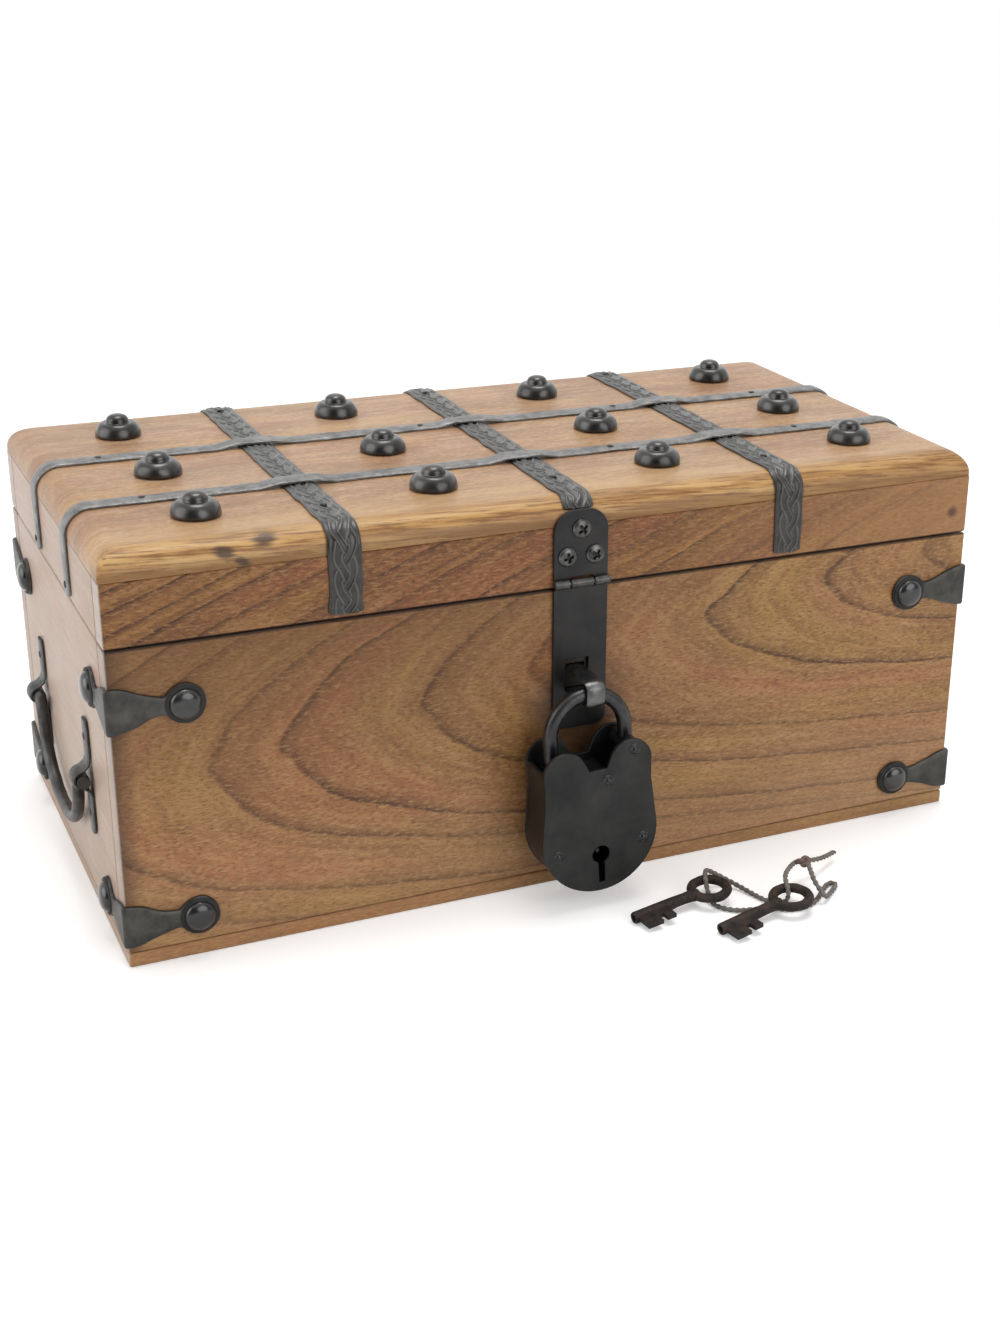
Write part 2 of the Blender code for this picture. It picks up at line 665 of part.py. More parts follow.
def cross_hole(name, target, spots, radius, y_from, y_to):
    """Drill round holes along Y at (x, z) spots."""
    drill = bmesh.new()
    for x, z in spots:
        profile = [(0, y_from), (radius, y_from), (radius, y_to), (0, y_to)]
        add_turned(drill, profile, lambda a, b, h: (x + a, h, z + b), 10)
    combine(target, tool(name, drill), "DIFFERENCE")


half_hasp = HASP_WIDTH / 2
pin_bore = HASP_PIN_RADIUS + FIT / 2
plate_root = pin_bore + FIT
leaf_outline = [(-half_hasp, plate_root), (half_hasp, plate_root)]
leaf_corner = (half_hasp - HASP_LEAF_ROUND, HASP_LEAF_TOP - HASP_LEAF_ROUND)
leaf_outline += arc(leaf_corner, HASP_LEAF_ROUND, 0, 90, 5)
leaf_outline += arc((-leaf_corner[0], leaf_corner[1]), HASP_LEAF_ROUND, 90, 180, 5)
leaf_mesh = bmesh.new()
leaf_foot = hasp_axis_height
add_prism(leaf_mesh, leaf_outline, plate_back, -HASP_THICK,
          lambda u, v, w: (HASP_MIDDLE + u, w, leaf_foot + v))
hasp_leaf = finish("hasp_leaf", leaf_mesh, iron)
relief = bmesh.new()
add_block(relief, (knuckle_edges[1], plate_back - 4 * MM, leaf_foot - 4 * MM),
          (knuckle_edges[2], plate_back + 4 * MM, leaf_foot + HASP_BARREL_RADIUS + FIT))
combine(hasp_leaf, tool("hasp_leaf_relief", relief), "DIFFERENCE")
leaf_spans = [(knuckle_edges[0], knuckle_edges[1] - FIT),
              (knuckle_edges[2] + FIT, knuckle_edges[3])]
joined_knuckles(hasp_leaf, "hasp_leaf", leaf_spans, HASP_BARREL_RADIUS, pin_bore,
                hasp_axis_y, hasp_axis_height)

pin_mesh = bmesh.new()
rod(pin_mesh, HASP_MIDDLE - half_hasp, HASP_MIDDLE + half_hasp + 2 * FIT, HASP_PIN_RADIUS,
    hasp_axis_y, hasp_axis_height)
finish("hasp_pin", pin_mesh, steel)

arch_inside = SHACKLE_ARCH - SHACKLE_BAR
arch_sag = arch_inside - math.sqrt(arch_inside ** 2 - (STAPLE_WIDTH / 2) ** 2)
staple_height = SHACKLE_TOP_HEIGHT - SHACKLE_BAR - arch_sag - FIT + STAPLE_EYE / 2
staple_half = STAPLE_EYE / 2 + STAPLE_THICK
flap_mesh = bmesh.new()
flap_outline = [(half_hasp, -plate_root), (-half_hasp, -plate_root)]
flap_corner = (half_hasp - HASP_FLAP_ROUND, HASP_FLAP_ROUND - HASP_FLAP_LENGTH)
flap_outline += arc((-flap_corner[0], flap_corner[1]), HASP_FLAP_ROUND, 180, 270, 4)
flap_outline += arc(flap_corner, HASP_FLAP_ROUND, 270, 360, 4)
add_prism(flap_mesh, flap_outline, plate_back - FIT / 3, -HASP_THICK,
          lambda u, v, w: (HASP_MIDDLE + u, w, hasp_axis_height + v))
hasp_flap = finish("hasp_flap", flap_mesh, iron, hasp_axis)
slot = bmesh.new()
slot_half = STAPLE_WIDTH / 2 + SLOT_PLAY
add_block(slot, (-slot_half, plate_back - 4 * MM, staple_height - staple_half - 2 * SLOT_PLAY),
          (slot_half, plate_back + 4 * MM, staple_height + staple_half + 2 * SLOT_PLAY))
combine(hasp_flap, tool("hasp_flap_slot", slot), "DIFFERENCE")
notches = bmesh.new()
for start, end in ((-HASP_WIDTH, knuckle_edges[1]), (knuckle_edges[2], HASP_WIDTH)):
    add_block(notches, (start, plate_back - 4 * MM, hasp_axis_height - HASP_BARREL_RADIUS - FIT),
              (end, plate_back + 4 * MM, hasp_axis_height + 4 * MM))
combine(hasp_flap, tool("hasp_flap_relief", notches), "DIFFERENCE")
flap_span = [(knuckle_edges[1] + FIT, knuckle_edges[2] - FIT)]
joined_knuckles(hasp_flap, "hasp_flap", flap_span, HASP_BARREL_RADIUS, pin_bore,
                hasp_axis_y, hasp_axis_height)


def wood_screw(mesh_data, x, z, seat_y):
    """A round-headed screw driven along +Y, its head in front of the seat."""
    profile = [(0, -SCREW_LENGTH), (SCREW_SHANK_RADIUS * 0.5, -SCREW_LENGTH),
               (SCREW_SHANK_RADIUS, -SCREW_LENGTH * 0.7), (SCREW_SHANK_RADIUS, 0),
               (SCREW_HEAD_RADIUS, 0), (SCREW_HEAD_RADIUS * 0.94, SCREW_HEAD_HEIGHT * 0.5),
               (SCREW_HEAD_RADIUS * 0.6, SCREW_HEAD_HEIGHT), (0, SCREW_HEAD_HEIGHT)]
    add_turned(mesh_data, profile, lambda a, b, h: (x + a, seat_y - h, z + b), 12)


screw_spots = [(HASP_MIDDLE + x, hasp_axis_height + z) for x, z in HASP_SCREWS]
cross_hole("hasp_leaf_drill", hasp_leaf, screw_spots, SCREW_SHANK_RADIUS + FIT,
           plate_back - 5 * MM, plate_back + 5 * MM)
for wood in (lid_front_rail, lid_top_board):
    cross_hole(wood.name + "_drill", wood, screw_spots, SCREW_SHANK_RADIUS + FIT,
               -HALF_DEPTH - 2 * MM, -HALF_DEPTH + SCREW_LENGTH)
screw_seat = plate_back - HASP_THICK - FIT
for number, (spot_x, spot_z) in enumerate(screw_spots, 1):
    screw_mesh = bmesh.new()
    wood_screw(screw_mesh, spot_x, spot_z, screw_seat)
    finish("hasp_screw_" + str(number), screw_mesh, steel)

# Staple: a bent strip through the front board, its ends clinched inside
staple_reach = SHACKLE_STANDOFF + SHACKLE_BAR + arch_sag + FIT
half_eye = STAPLE_EYE / 2
inside = -(BOARD + FIT)
bend = STAPLE_EYE * 0.3
staple_path = [(inside - STAPLE_THICK, half_eye + STAPLE_CLINCH), (inside - STAPLE_THICK, half_eye)]
staple_path += arc((staple_reach - bend, half_eye - bend), bend, 90, 0, 4)
staple_path += arc((staple_reach - bend, -half_eye + bend), bend, 0, -90, 4)
staple_path += [(inside - STAPLE_THICK, -half_eye), (inside - STAPLE_THICK, -half_eye - STAPLE_CLINCH)]
staple_mesh = bmesh.new()
add_strap(staple_mesh, staple_path, STAPLE_THICK, STAPLE_WIDTH,
          lambda u, v, w: (w, -HALF_DEPTH - u, staple_height + v))
finish("staple", staple_mesh, iron)
leg_slots = bmesh.new()
for leg_side in (-1, 1):
    leg_z = staple_height + leg_side * (half_eye + STAPLE_THICK / 2)
    leg_half = STAPLE_THICK / 2 + FIT
    add_block(leg_slots, (-STAPLE_WIDTH / 2 - FIT, -HALF_DEPTH - 2 * MM, leg_z - leg_half),
              (STAPLE_WIDTH / 2 + FIT, -HALF_DEPTH + BOARD + 2 * MM, leg_z + leg_half))
combine(front_board, tool("front_board_leg_slots", leg_slots), "DIFFERENCE")

# Padlock, drawn hanging straight about the middle of its arch and then rolled a little
arch_height = SHACKLE_TOP_HEIGHT - SHACKLE_ARCH
lock_middle = Vector((0, -(HALF_DEPTH + SHACKLE_STANDOFF), arch_height))
lock_frame = Matrix.Translation(lock_middle) @ Matrix.Rotation(-LOCK_ROLL, 4, "Y")
half_lock = LOCK_THICK / 2
pivot = (SHACKLE_ARCH, -PIVOT_DROP)
rest_axis = tuple(lock_middle + Vector((0, 0, SHACKLE_ARCH)))
pivot_axis = tuple(lock_frame @ Vector((pivot[0], 0, pivot[1])))


def lock_place(u, v, w):
    """Lock coordinates: u right, v up, w towards the back."""
    return tuple(lock_frame @ Vector((u, w, v)))


def half_plate(inset):
    """Right half of the plate's outline, from the notch round to the foot."""
    hump = arc((HUMP_SPREAD, -HUMP_DROP), HUMP_RADIUS - inset, 150, -8, 9)
    waist = [(HUMP_SPREAD + HUMP_RADIUS * 0.955 - inset, -HUMP_DROP - HUMP_RADIUS)]
    body = arc((0, -BODY_DROP), BODY_RADIUS - inset, 10, -90, 12)
    return [(NOTCH_HALF + inset, -NOTCH_DROP - inset)] + hump + waist + body


def plate_outline():
    """The lock's plate: two humps, a notch between them and a round body."""
    right = half_plate(0)
    left = [(-u, v) for u, v in reversed(right[:-1])]
    return right + left


def lock_plate(name, start):
    """One of the two plates, drilled for its rivets."""
    mesh_data = bmesh.new()
    add_prism(mesh_data, plate_outline(), start, LOCK_PLATE, lock_place)
    made = finish(name, mesh_data, iron, pivot_axis)
    holes = bmesh.new()
    for u, v in LOCK_RIVETS + (pivot,):
        depth = 2 * LOCK_PLATE
        profile = [(0, start - depth), (RIVET_RADIUS + FIT, start - depth),
                   (RIVET_RADIUS + FIT, start + 2 * depth), (0, start + 2 * depth)]
        add_turned(holes, profile, lambda a, b, h: lock_place(u + a, v + b, h), 8)
    combine(made, tool(name + "_drill", holes), "DIFFERENCE")
    return made


lock_front = lock_plate("padlock_front_plate", -half_lock)
lock_back = lock_plate("padlock_back_plate", half_lock - LOCK_PLATE)
keyhole_outline = arc((0, -KEYHOLE_DROP), KEYHOLE_RADIUS, -69, 249, 14)
half_slot = KEYHOLE_SLOT_WIDTH / 2
slot_foot = -KEYHOLE_DROP - KEYHOLE_SLOT_LENGTH
keyhole_outline += [(-half_slot, slot_foot), (half_slot, slot_foot)]
keyhole = bmesh.new()
add_prism(keyhole, keyhole_outline, -half_lock - LOCK_PLATE, 3 * LOCK_PLATE, lock_place)
combine(lock_front, tool("padlock_keyhole", keyhole), "DIFFERENCE")

# Side wall of the padlock, open between its humps for the shackle
wall_half = half_lock - LOCK_PLATE - FIT
outer_line = [point for point in half_plate(FIT) if point[1] < -PIVOT_DROP - SHACKLE_BAR]
outer_line = [point for point in outer_line if point[0] > HUMP_SPREAD or point[1] < -HUMP_DROP - HUMP_RADIUS]
inner_line = offset_path(outer_line, -LOCK_WALL)
inner_line[-1] = (0, inner_line[-1][1])
right_wall = outer_line
left_wall = [(-u, v) for u, v in reversed(outer_line[:-1])]
inner_left = [(-u, v) for u, v in inner_line[:-1]]
wall_ring = right_wall + left_wall + inner_left + list(reversed(inner_line))
wall_mesh = bmesh.new()
add_prism(wall_mesh, wall_ring, -wall_half, 2 * wall_half, lock_place)
finish("padlock_rim", wall_mesh, iron, pivot_axis)

# Rivets, pivot and key post, all fast in the back plate
seat = half_lock + FIT
lift = RIVET_HEAD * 0.4
rivet_profile = [(0, -seat - lift), (RIVET_HEAD * 0.7, -seat - lift * 0.7), (RIVET_HEAD, -seat),
                 (RIVET_RADIUS, -seat), (RIVET_RADIUS, half_lock - LOCK_PLATE / 2),
                 (RIVET_HEAD, half_lock - LOCK_PLATE / 2), (RIVET_HEAD, half_lock),
                 (RIVET_HEAD * 0.7, half_lock + lift * 0.7), (0, half_lock + lift)]
for number, (rivet_u, rivet_v) in enumerate(LOCK_RIVETS + (pivot,), 1):
    rivet_mesh = bmesh.new()
    add_turned(rivet_mesh, rivet_profile, lambda a, b, h: lock_place(rivet_u + a, rivet_v + b, h), 10)
    combine(lock_back, tool("padlock_rivet_" + str(number), rivet_mesh), "UNION")
post_mesh = bmesh.new()
post_profile = [(0, half_lock - LOCK_PLATE / 2), (POST_RADIUS, half_lock - LOCK_PLATE / 2),
                (POST_RADIUS, -half_lock + FIT), (0, -half_lock + FIT)]
add_turned(post_mesh, post_profile, lambda a, b, h: lock_place(a, -KEYHOLE_DROP + b, h), 10)
combine(lock_back, tool("padlock_key_post", post_mesh), "UNION")

# Shackle: an arch with an eye on the pivot and a notched free leg
shackle_line = [(SHACKLE_ARCH, -PIVOT_DROP)]
shackle_line += arc((0, 0), SHACKLE_ARCH, 0, 180, 14) + [(-SHACKLE_ARCH, -FREE_LEG)]
shackle_mesh = bmesh.new()
bar_line = [lock_place(u, v, 0) for u, v in shackle_line]
add_bar(shackle_mesh, bar_line, SHACKLE_BAR, 14, (0, 1, 0))
shackle = finish("padlock_shackle", shackle_mesh, iron, rest_axis)
eye = bmesh.new()
eye_radius = SHACKLE_BAR * 1.25
add_turned(eye, [(0, -wall_half), (eye_radius, -wall_half), (eye_radius, wall_half), (0, wall_half)],
           lambda a, b, h: lock_place(pivot[0] + a, pivot[1] + b, h), 16)
combine(shackle, tool("padlock_shackle_eye", eye), "UNION")
eye_hole = bmesh.new()
bore_radius = RIVET_RADIUS + FIT
add_turned(eye_hole, [(0, -half_lock), (bore_radius, -half_lock), (bore_radius, half_lock), (0, half_lock)],
           lambda a, b, h: lock_place(pivot[0] + a, pivot[1] + b, h), 10)
combine(shackle, tool("padlock_shackle_bore", eye_hole), "DIFFERENCE")
inner_leg = -SHACKLE_ARCH + SHACKLE_BAR
bite = bmesh.new()
bite_half = BOLT_HEIGHT / 2 + FIT
bite_outline = [(inner_leg - BOLT_BITE - FIT, -BOLT_DROP - bite_half), (0, -BOLT_DROP - bite_half),
                (0, -BOLT_DROP + bite_half), (inner_leg - BOLT_BITE - FIT, -BOLT_DROP + bite_half)]
add_prism(bite, bite_outline, -half_lock, LOCK_THICK, lock_place)
combine(shackle, tool("padlock_shackle_bite", bite), "DIFFERENCE")

# Bolt inside the padlock, its nose in the free leg's notch
bolt_mesh = bmesh.new()
bolt_start = inner_leg - BOLT_BITE
bolt_end = bolt_start + BOLT_LENGTH
bolt_outline = [(bolt_start, -BOLT_DROP - BOLT_HEIGHT / 2), (bolt_end, -BOLT_DROP - BOLT_HEIGHT / 2),
                (bolt_end, -BOLT_DROP + BOLT_HEIGHT / 2), (bolt_start, -BOLT_DROP + BOLT_HEIGHT / 2)]
add_prism(bolt_mesh, bolt_outline, -wall_half, 2 * wall_half, lock_place)
bolt = finish("padlock_bolt", bolt_mesh, steel, lock_place(bolt_start, -BOLT_DROP, 0), smooth=False)
guide = bmesh.new()
guide_u, guide_v = LOCK_RIVETS[0]
guide_radius = RIVET_RADIUS + FIT
guide_outline = [(guide_u - guide_radius - BOLT_BITE - 4 * FIT, guide_v - guide_radius),
                 (guide_u + guide_radius, guide_v - guide_radius),
                 (guide_u + guide_radius, guide_v + guide_radius),
                 (guide_u - guide_radius - BOLT_BITE - 4 * FIT, guide_v + guide_radius)]
add_prism(guide, guide_outline, -half_lock, LOCK_THICK, lock_place)
combine(bolt, tool("padlock_bolt_guide", guide), "DIFFERENCE")

# Butt hinges on the back: the pin is fast in the box leaf's knuckles
hinge_axis_y = HALF_DEPTH + FIT + HINGE_BARREL_RADIUS
hinge_axis_z = BOX_HEIGHT + SEAM / 2
hinge_back = HALF_DEPTH + FIT


def hinge_leaf(name, hinge_x, up, spans, gaps, bore, axis_point):
    """A leaf on the box (up = -1) or the lid (up = 1), with its knuckles and screw heads."""
    root = hinge_axis_z + up * HINGE_PIN_RADIUS
    heights = sorted((root, hinge_axis_z + up * (HINGE_LEAF + HINGE_BARREL_RADIUS)))
    half = HINGE_WIDTH / 2
    mesh_data = bmesh.new()
    add_block(mesh_data, (hinge_x - half, hinge_back, heights[0]),
              (hinge_x + half, hinge_back + HINGE_THICK, heights[1]))
    leaf = finish(name, mesh_data, iron, axis_point, smooth=False)
    clear_z = sorted((hinge_axis_z - up * HINGE_LEAF, hinge_axis_z + up * (HINGE_BARREL_RADIUS + FIT)))
    clearing = bmesh.new()
    for gap_start, gap_end in gaps:
        add_block(clearing, (gap_start, hinge_back - HINGE_THICK, clear_z[0]),
                  (gap_end, hinge_back + 2 * HINGE_THICK, clear_z[1]))
    combine(leaf, tool(name + "_relief", clearing), "DIFFERENCE")
    joined_knuckles(leaf, name, spans, HINGE_BARREL_RADIUS, bore, hinge_axis_y, hinge_axis_z)
    screw_z = hinge_axis_z + up * (HINGE_BARREL_RADIUS + HINGE_SCREW_RISE)
    head = dome_profile(HINGE_SCREW_RADIUS, HINGE_THICK, 2)
    for number, side in enumerate((-1, 1), 1):
        screw_x = hinge_x + side * HINGE_SCREW_SPREAD
        head_mesh = bmesh.new()
        add_turned(head_mesh, head, lambda a, b, h: (screw_x + a, hinge_back + HINGE_THICK / 2 + h,
                                                     screw_z + b), 10)
        combine(leaf, tool(name + "_screw_" + str(number), head_mesh), "UNION")
    return leaf


for hinge_name, hinge_x in HINGE_PLACES.items():
    edges = [hinge_x + HINGE_WIDTH * (share - 0.5) for share in HINGE_KNUCKLES]
    box_spans = [(edges[0], edges[1] - FIT), (edges[2] + FIT, edges[3])]
    box_leaf = hinge_leaf("hinge_" + hinge_name + "_box_leaf", hinge_x, -1, box_spans,
                          [(edges[1], edges[2])], 0, None)
    pin_mesh = bmesh.new()
    rod(pin_mesh, edges[0] - 2 * FIT, edges[3] + 2 * FIT, HINGE_PIN_RADIUS, hinge_axis_y, hinge_axis_z)
    combine(box_leaf, tool("hinge_" + hinge_name + "_pin", pin_mesh), "UNION")
    outside = HINGE_WIDTH
    hinge_leaf("hinge_" + hinge_name + "_lid_leaf", hinge_x, 1, [(edges[1] + FIT, edges[2] - FIT)],
               [(edges[0] - outside, edges[1]), (edges[2], edges[3] + outside)],
               HINGE_PIN_RADIUS + FIT / 2, (hinge_x, hinge_axis_y, hinge_axis_z))

# Two barrel keys lying on the floor, their bows propped on the string
for key_name, lie in KEY_PLACES.items():
    pitch = math.asin((BOW_LIFT - KEY_BARREL_RADIUS) / KEY_LENGTH)
    start = Vector((*lie["end"], KEY_BARREL_RADIUS))
    turn = Matrix.Rotation(lie["turn"], 4, "Z") @ Matrix.Rotation(-pitch, 4, "Y")
    key_frame = Matrix.Translation(start) @ turn

    def key_place(x, y, z):
        """Key coordinates: x from the barrel's end to the bow, y to the left, z up."""
        return tuple(key_frame @ Vector((x, y, z)))

    key_mesh = bmesh.new()
    shank = KEY_LENGTH - BOW_RING_RADIUS
    add_turned(key_mesh, [(0, 0), (KEY_BARREL_RADIUS, 0), (KEY_BARREL_RADIUS, shank * 0.8),
                          (KEY_BARREL_RADIUS * 0.8, shank), (0, shank)],
               lambda a, b, h: key_place(h, a, b), 12)
    key = finish(key_name, key_mesh, iron)
    bow = bmesh.new()
    ring_steps, bar_steps = 22, 8
    rings = []
    for step in range(ring_steps):
        angle = 2 * math.pi * step / ring_steps
        ring = []
        for bar_step in range(bar_steps):
            roll = 2 * math.pi * (bar_step + 0.5) / bar_steps
            reach = BOW_RING_RADIUS + BOW_BAR_RADIUS * math.cos(roll)
            ring.append(bow.verts.new(key_place(KEY_LENGTH + reach * math.cos(angle) * BOW_SQUASH,
                                                reach * math.sin(angle),
                                                BOW_BAR_RADIUS * math.sin(roll))))
        rings.append(ring)
    for step in range(ring_steps):
        lower, upper = rings[step], rings[(step + 1) % ring_steps]
        for bar_step in range(bar_steps):
            after = (bar_step + 1) % bar_steps
            bow.faces.new((lower[bar_step], lower[after], upper[after], upper[bar_step]))
    combine(key, tool(key_name + "_bow", bow), "UNION")
    bit = bmesh.new()
    notch_start = BIT_FROM_END + BIT_NOTCH_PLACE
    notch_end = notch_start + BIT_NOTCH
    bit_end = BIT_FROM_END + BIT_WIDTH
    bit_root = -KEY_BARREL_RADIUS / 2
    bit_outline = [(BIT_FROM_END, bit_root), (BIT_FROM_END, -BIT_REACH), (notch_start, -BIT_REACH),
                   (notch_start, -BIT_NOTCH_ROOT), (notch_end, -BIT_NOTCH_ROOT),
                   (notch_end, BIT_STEP - BIT_REACH), (bit_end, BIT_STEP - BIT_REACH),
                   (bit_end, bit_root)]
    add_prism(bit, bit_outline, -BIT_THICK / 2, BIT_THICK, key_place)
    combine(key, tool(key_name + "_bit", bit), "UNION")
    key_bore = bmesh.new()
    add_turned(key_bore, [(0, -MM), (KEY_BORE_RADIUS, -MM), (KEY_BORE_RADIUS, KEY_BORE_DEPTH),
                          (0, KEY_BORE_DEPTH)], lambda a, b, h: key_place(h, a, b), 10)
    combine(key, tool(key_name + "_bore", key_bore), "DIFFERENCE")

# String through both bows
def rounded(route, sharp_turn):
    """The route with a point on a smooth curve added beside each of its sharp turns."""
    points = [Vector(point) * MM for point in route]
    steps = [after - here for here, after in zip(points, points[1:])]
    turns = [0] + [one.angle(two) for one, two in zip(steps, steps[1:])] + [0]
    smooth = [points[0]]
    for index, (here, after) in enumerate(zip(points, points[1:])):
        if max(turns[index], turns[index + 1]) > sharp_turn:
            before = points[max(index - 1, 0)]
            beyond = points[min(index + 2, len(points) - 1)]
            smooth.append((9 * (here + after) - before - beyond) / 16)
        smooth.append(after)
    return smooth


string_curve = bpy.data.curves.new("key_string", "CURVE")
string_curve.dimensions = "3D"
string_curve.bevel_depth = STRING_RADIUS
string_curve.bevel_resolution = 2
string_curve.use_fill_caps = True
spline = string_curve.splines.new("POLY")
string_line = rounded(STRING_ROUTE, math.radians(32))
spline.points.add(len(string_line) - 1)
for point, spot in zip(spline.points, string_line):
    point.co = (*spot, 1)
key_string = bpy.data.objects.new("key_string", string_curve)
bpy.context.collection.objects.link(key_string)
string_curve.materials.append(material("key_string", (0.2, 0.17, 0.14), 0.9, 0.0))
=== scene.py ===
"""The looks of a small wooden treasure chest with iron fittings, a padlock and its two keys."""

import math

import bmesh
import bpy
import numpy as np
from mathutils import Matrix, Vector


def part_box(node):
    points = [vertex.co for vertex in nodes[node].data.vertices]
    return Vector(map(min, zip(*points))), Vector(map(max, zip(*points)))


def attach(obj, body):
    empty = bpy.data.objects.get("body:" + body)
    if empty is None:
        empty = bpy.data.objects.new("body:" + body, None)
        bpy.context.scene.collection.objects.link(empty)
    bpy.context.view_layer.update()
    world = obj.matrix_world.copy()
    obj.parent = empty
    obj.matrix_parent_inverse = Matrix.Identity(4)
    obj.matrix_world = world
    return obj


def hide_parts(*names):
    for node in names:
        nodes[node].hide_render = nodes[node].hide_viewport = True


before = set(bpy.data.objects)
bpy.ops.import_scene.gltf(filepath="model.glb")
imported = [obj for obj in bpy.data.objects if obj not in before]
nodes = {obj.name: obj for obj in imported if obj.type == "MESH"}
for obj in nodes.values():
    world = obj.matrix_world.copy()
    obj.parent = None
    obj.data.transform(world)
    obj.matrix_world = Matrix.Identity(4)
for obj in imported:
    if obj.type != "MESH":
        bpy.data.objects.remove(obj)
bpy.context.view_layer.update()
MM = 0.001  # Blender works in metres, and the sizes here are given in millimetres


# The view: a little round to the chest's left and looking down on it, through a mild tele lens,
# as the picture was taken, with the chest a little off the lens's middle.
def facing(ways, place=(0.0, 0.0, 0.0)):
    """A matrix from the directions of an object's right, top and back, and from its place."""
    matrix = np.eye(4)
    matrix[:3] = np.column_stack([*ways, place])
    return Matrix(matrix.tolist())


view_place = np.array([-292.32, -729.99, 377.50]) * MM
view_turn, view_tilt, view_roll = (math.radians(angle) for angle in (-25.8064, 22.4373, 1.2188))
view_back = np.array([math.sin(view_turn) * math.cos(view_tilt),
                      -math.cos(view_turn) * math.cos(view_tilt),
                      math.sin(view_tilt)])
view_level = np.cross(-view_back, (0, 0, 1))
view_level /= np.linalg.norm(view_level)
view_rise = np.cross(view_back, view_level)
view_right = math.cos(view_roll) * view_level + math.sin(view_roll) * view_rise
view_up = np.cross(view_back, view_right)
camera_data = bpy.data.cameras.new("camera")
camera_data.sensor_fit = "HORIZONTAL"
camera_data.sensor_width = 36.0
camera_data.lens = 69.782
camera_data.shift_x, camera_data.shift_y = -0.11191, 0.01335
camera = bpy.data.objects.new("camera", camera_data)
camera.matrix_world = facing((view_right, view_up, view_back), view_place)
bpy.context.scene.collection.objects.link(camera)
bpy.context.scene.camera = camera


# The string: brown two-ply jute twine, knotted into a loop through both bows, lying on the floor.
# It is a lobed tube, turned as it goes, along the route of the CAD model's string.
def smooth_line(route, step):
    """Points every step metres on a Catmull-Rom curve: each span is the cubic through its ends
    whose slope at an end is half the chord between that end's neighbours."""
    ends = np.vstack([2 * route[0] - route[1], route, 2 * route[-1] - route[-2]])
    share = np.linspace(0, 1, 16, endpoint=False)[:, None]
    before, here, there, beyond = (ends[k:len(ends) - 3 + k, None] for k in range(4))
    bend = 2 * before - 5 * here + 4 * there - beyond
    twist = 3 * here - before - 3 * there + beyond
    fine = here + 0.5 * share * ((there - before) + share * (bend + share * twist))
    fine = np.vstack([fine.reshape(-1, 3), route[-1:]])
    run = np.append(0, np.cumsum(np.linalg.norm(np.diff(fine, axis=0), axis=1)))
    even = np.linspace(0, run[-1], int(run[-1] / step) + 1)
    return np.stack([np.interp(even, run, fine[:, k]) for k in range(3)], axis=1)


def unit(vectors):
    """Each vector divided by its length."""
    return vectors / np.linalg.norm(vectors, axis=-1, keepdims=True)


def swept(line, aside, above, side_way, above_way=None):
    """Rings along a line: each point is the line's own, plus the section's first number times a
    sideways direction and its second number times the direction square to that and the line."""
    side = unit(np.broadcast_to(np.asarray(side_way, float), line.shape))
    if above_way is None:
        above_way = unit(np.cross(unit(np.gradient(line, axis=0)), side))
    above_way = np.broadcast_to(above_way, line.shape)
    return (line[:, None] + np.asarray(aside)[..., None] * side[:, None]
            + np.asarray(above)[..., None] * above_way[:, None])


def circle(steps):
    """Even angles once round."""
    return np.linspace(0, 2 * math.pi, steps, endpoint=False)


def tube(line, radius, sides, up=(0, 0, 1), lobes=0, depth=0.0, pitch=1.0):
    """A round tube: rings at equal angles about the line, whose radius may swell and sink by a
    share, depth, as a cosine with so many lobes that turns once in every pitch metres."""
    along = unit(np.gradient(line, axis=0))
    side = unit(np.cross(along, np.broadcast_to(np.asarray(up, float), along.shape)))
    angle = circle(sides)[None, :]
    run = np.append(0, np.cumsum(np.linalg.norm(np.diff(line, axis=0), axis=1)))[:, None]
    reach = radius * (1 + depth * np.cos(lobes * (angle - 2 * math.pi * run / pitch)))
    return swept(line, reach * np.cos(angle), reach * np.sin(angle), side)


def shell(name, *grids, closed=True, crease=40, rise=None):
    """A mesh of one or more grids of points. A grid's rows are rings, joined each to the next;
    the end rings are filled, or with closed=False they are joined to one another. Rise is a
    number from 0 to 1 at each point, which the finish reads as the height of its relief, to lay
    painted highlights on the straps' cords and painted shade in the screws' slots."""
    corners, faces = [], []
    start = 0
    for grid in grids:
        rows, columns = grid.shape[:2]
        lower = number = np.arange(rows * columns).reshape(rows, columns) + start
        upper = np.roll(number, -1, axis=0)
        if closed:
            lower, upper = number[:-1], number[1:]
        quads = [lower, np.roll(lower, -1, axis=1), np.roll(upper, -1, axis=1), upper]
        faces += np.stack(quads, axis=-1).reshape(-1, 4).tolist()
        if closed:
            faces += [number[0].tolist(), number[-1].tolist()]
        corners.append(grid.reshape(-1, 3))
        start += rows * columns
    mesh = bpy.data.meshes.new(name)
    mesh.from_pydata(np.vstack(corners).tolist(), [], faces)
    if rise is not None:
        mesh.attributes.new("rise", "FLOAT", "POINT").data.foreach_set("value", rise.ravel())
    shape = bmesh.new()
    shape.from_mesh(mesh)
    bmesh.ops.recalc_face_normals(shape, faces=shape.faces)
    shape.to_mesh(mesh)
    shape.free()
    mesh.shade_smooth()
    mesh.set_sharp_from_angle(angle=math.radians(crease))
    made = bpy.data.objects.new(name, mesh)
    bpy.context.scene.collection.objects.link(made)
    return made


def fit(piece, paint, body, slot, *replaced):
    """Give a piece its finish, the body that it moves with and the CAD nodes it stands for."""
    piece.data.materials.append(paint.material)
    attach(piece, body)
    if replaced:
        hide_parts(*replaced)
    return piece


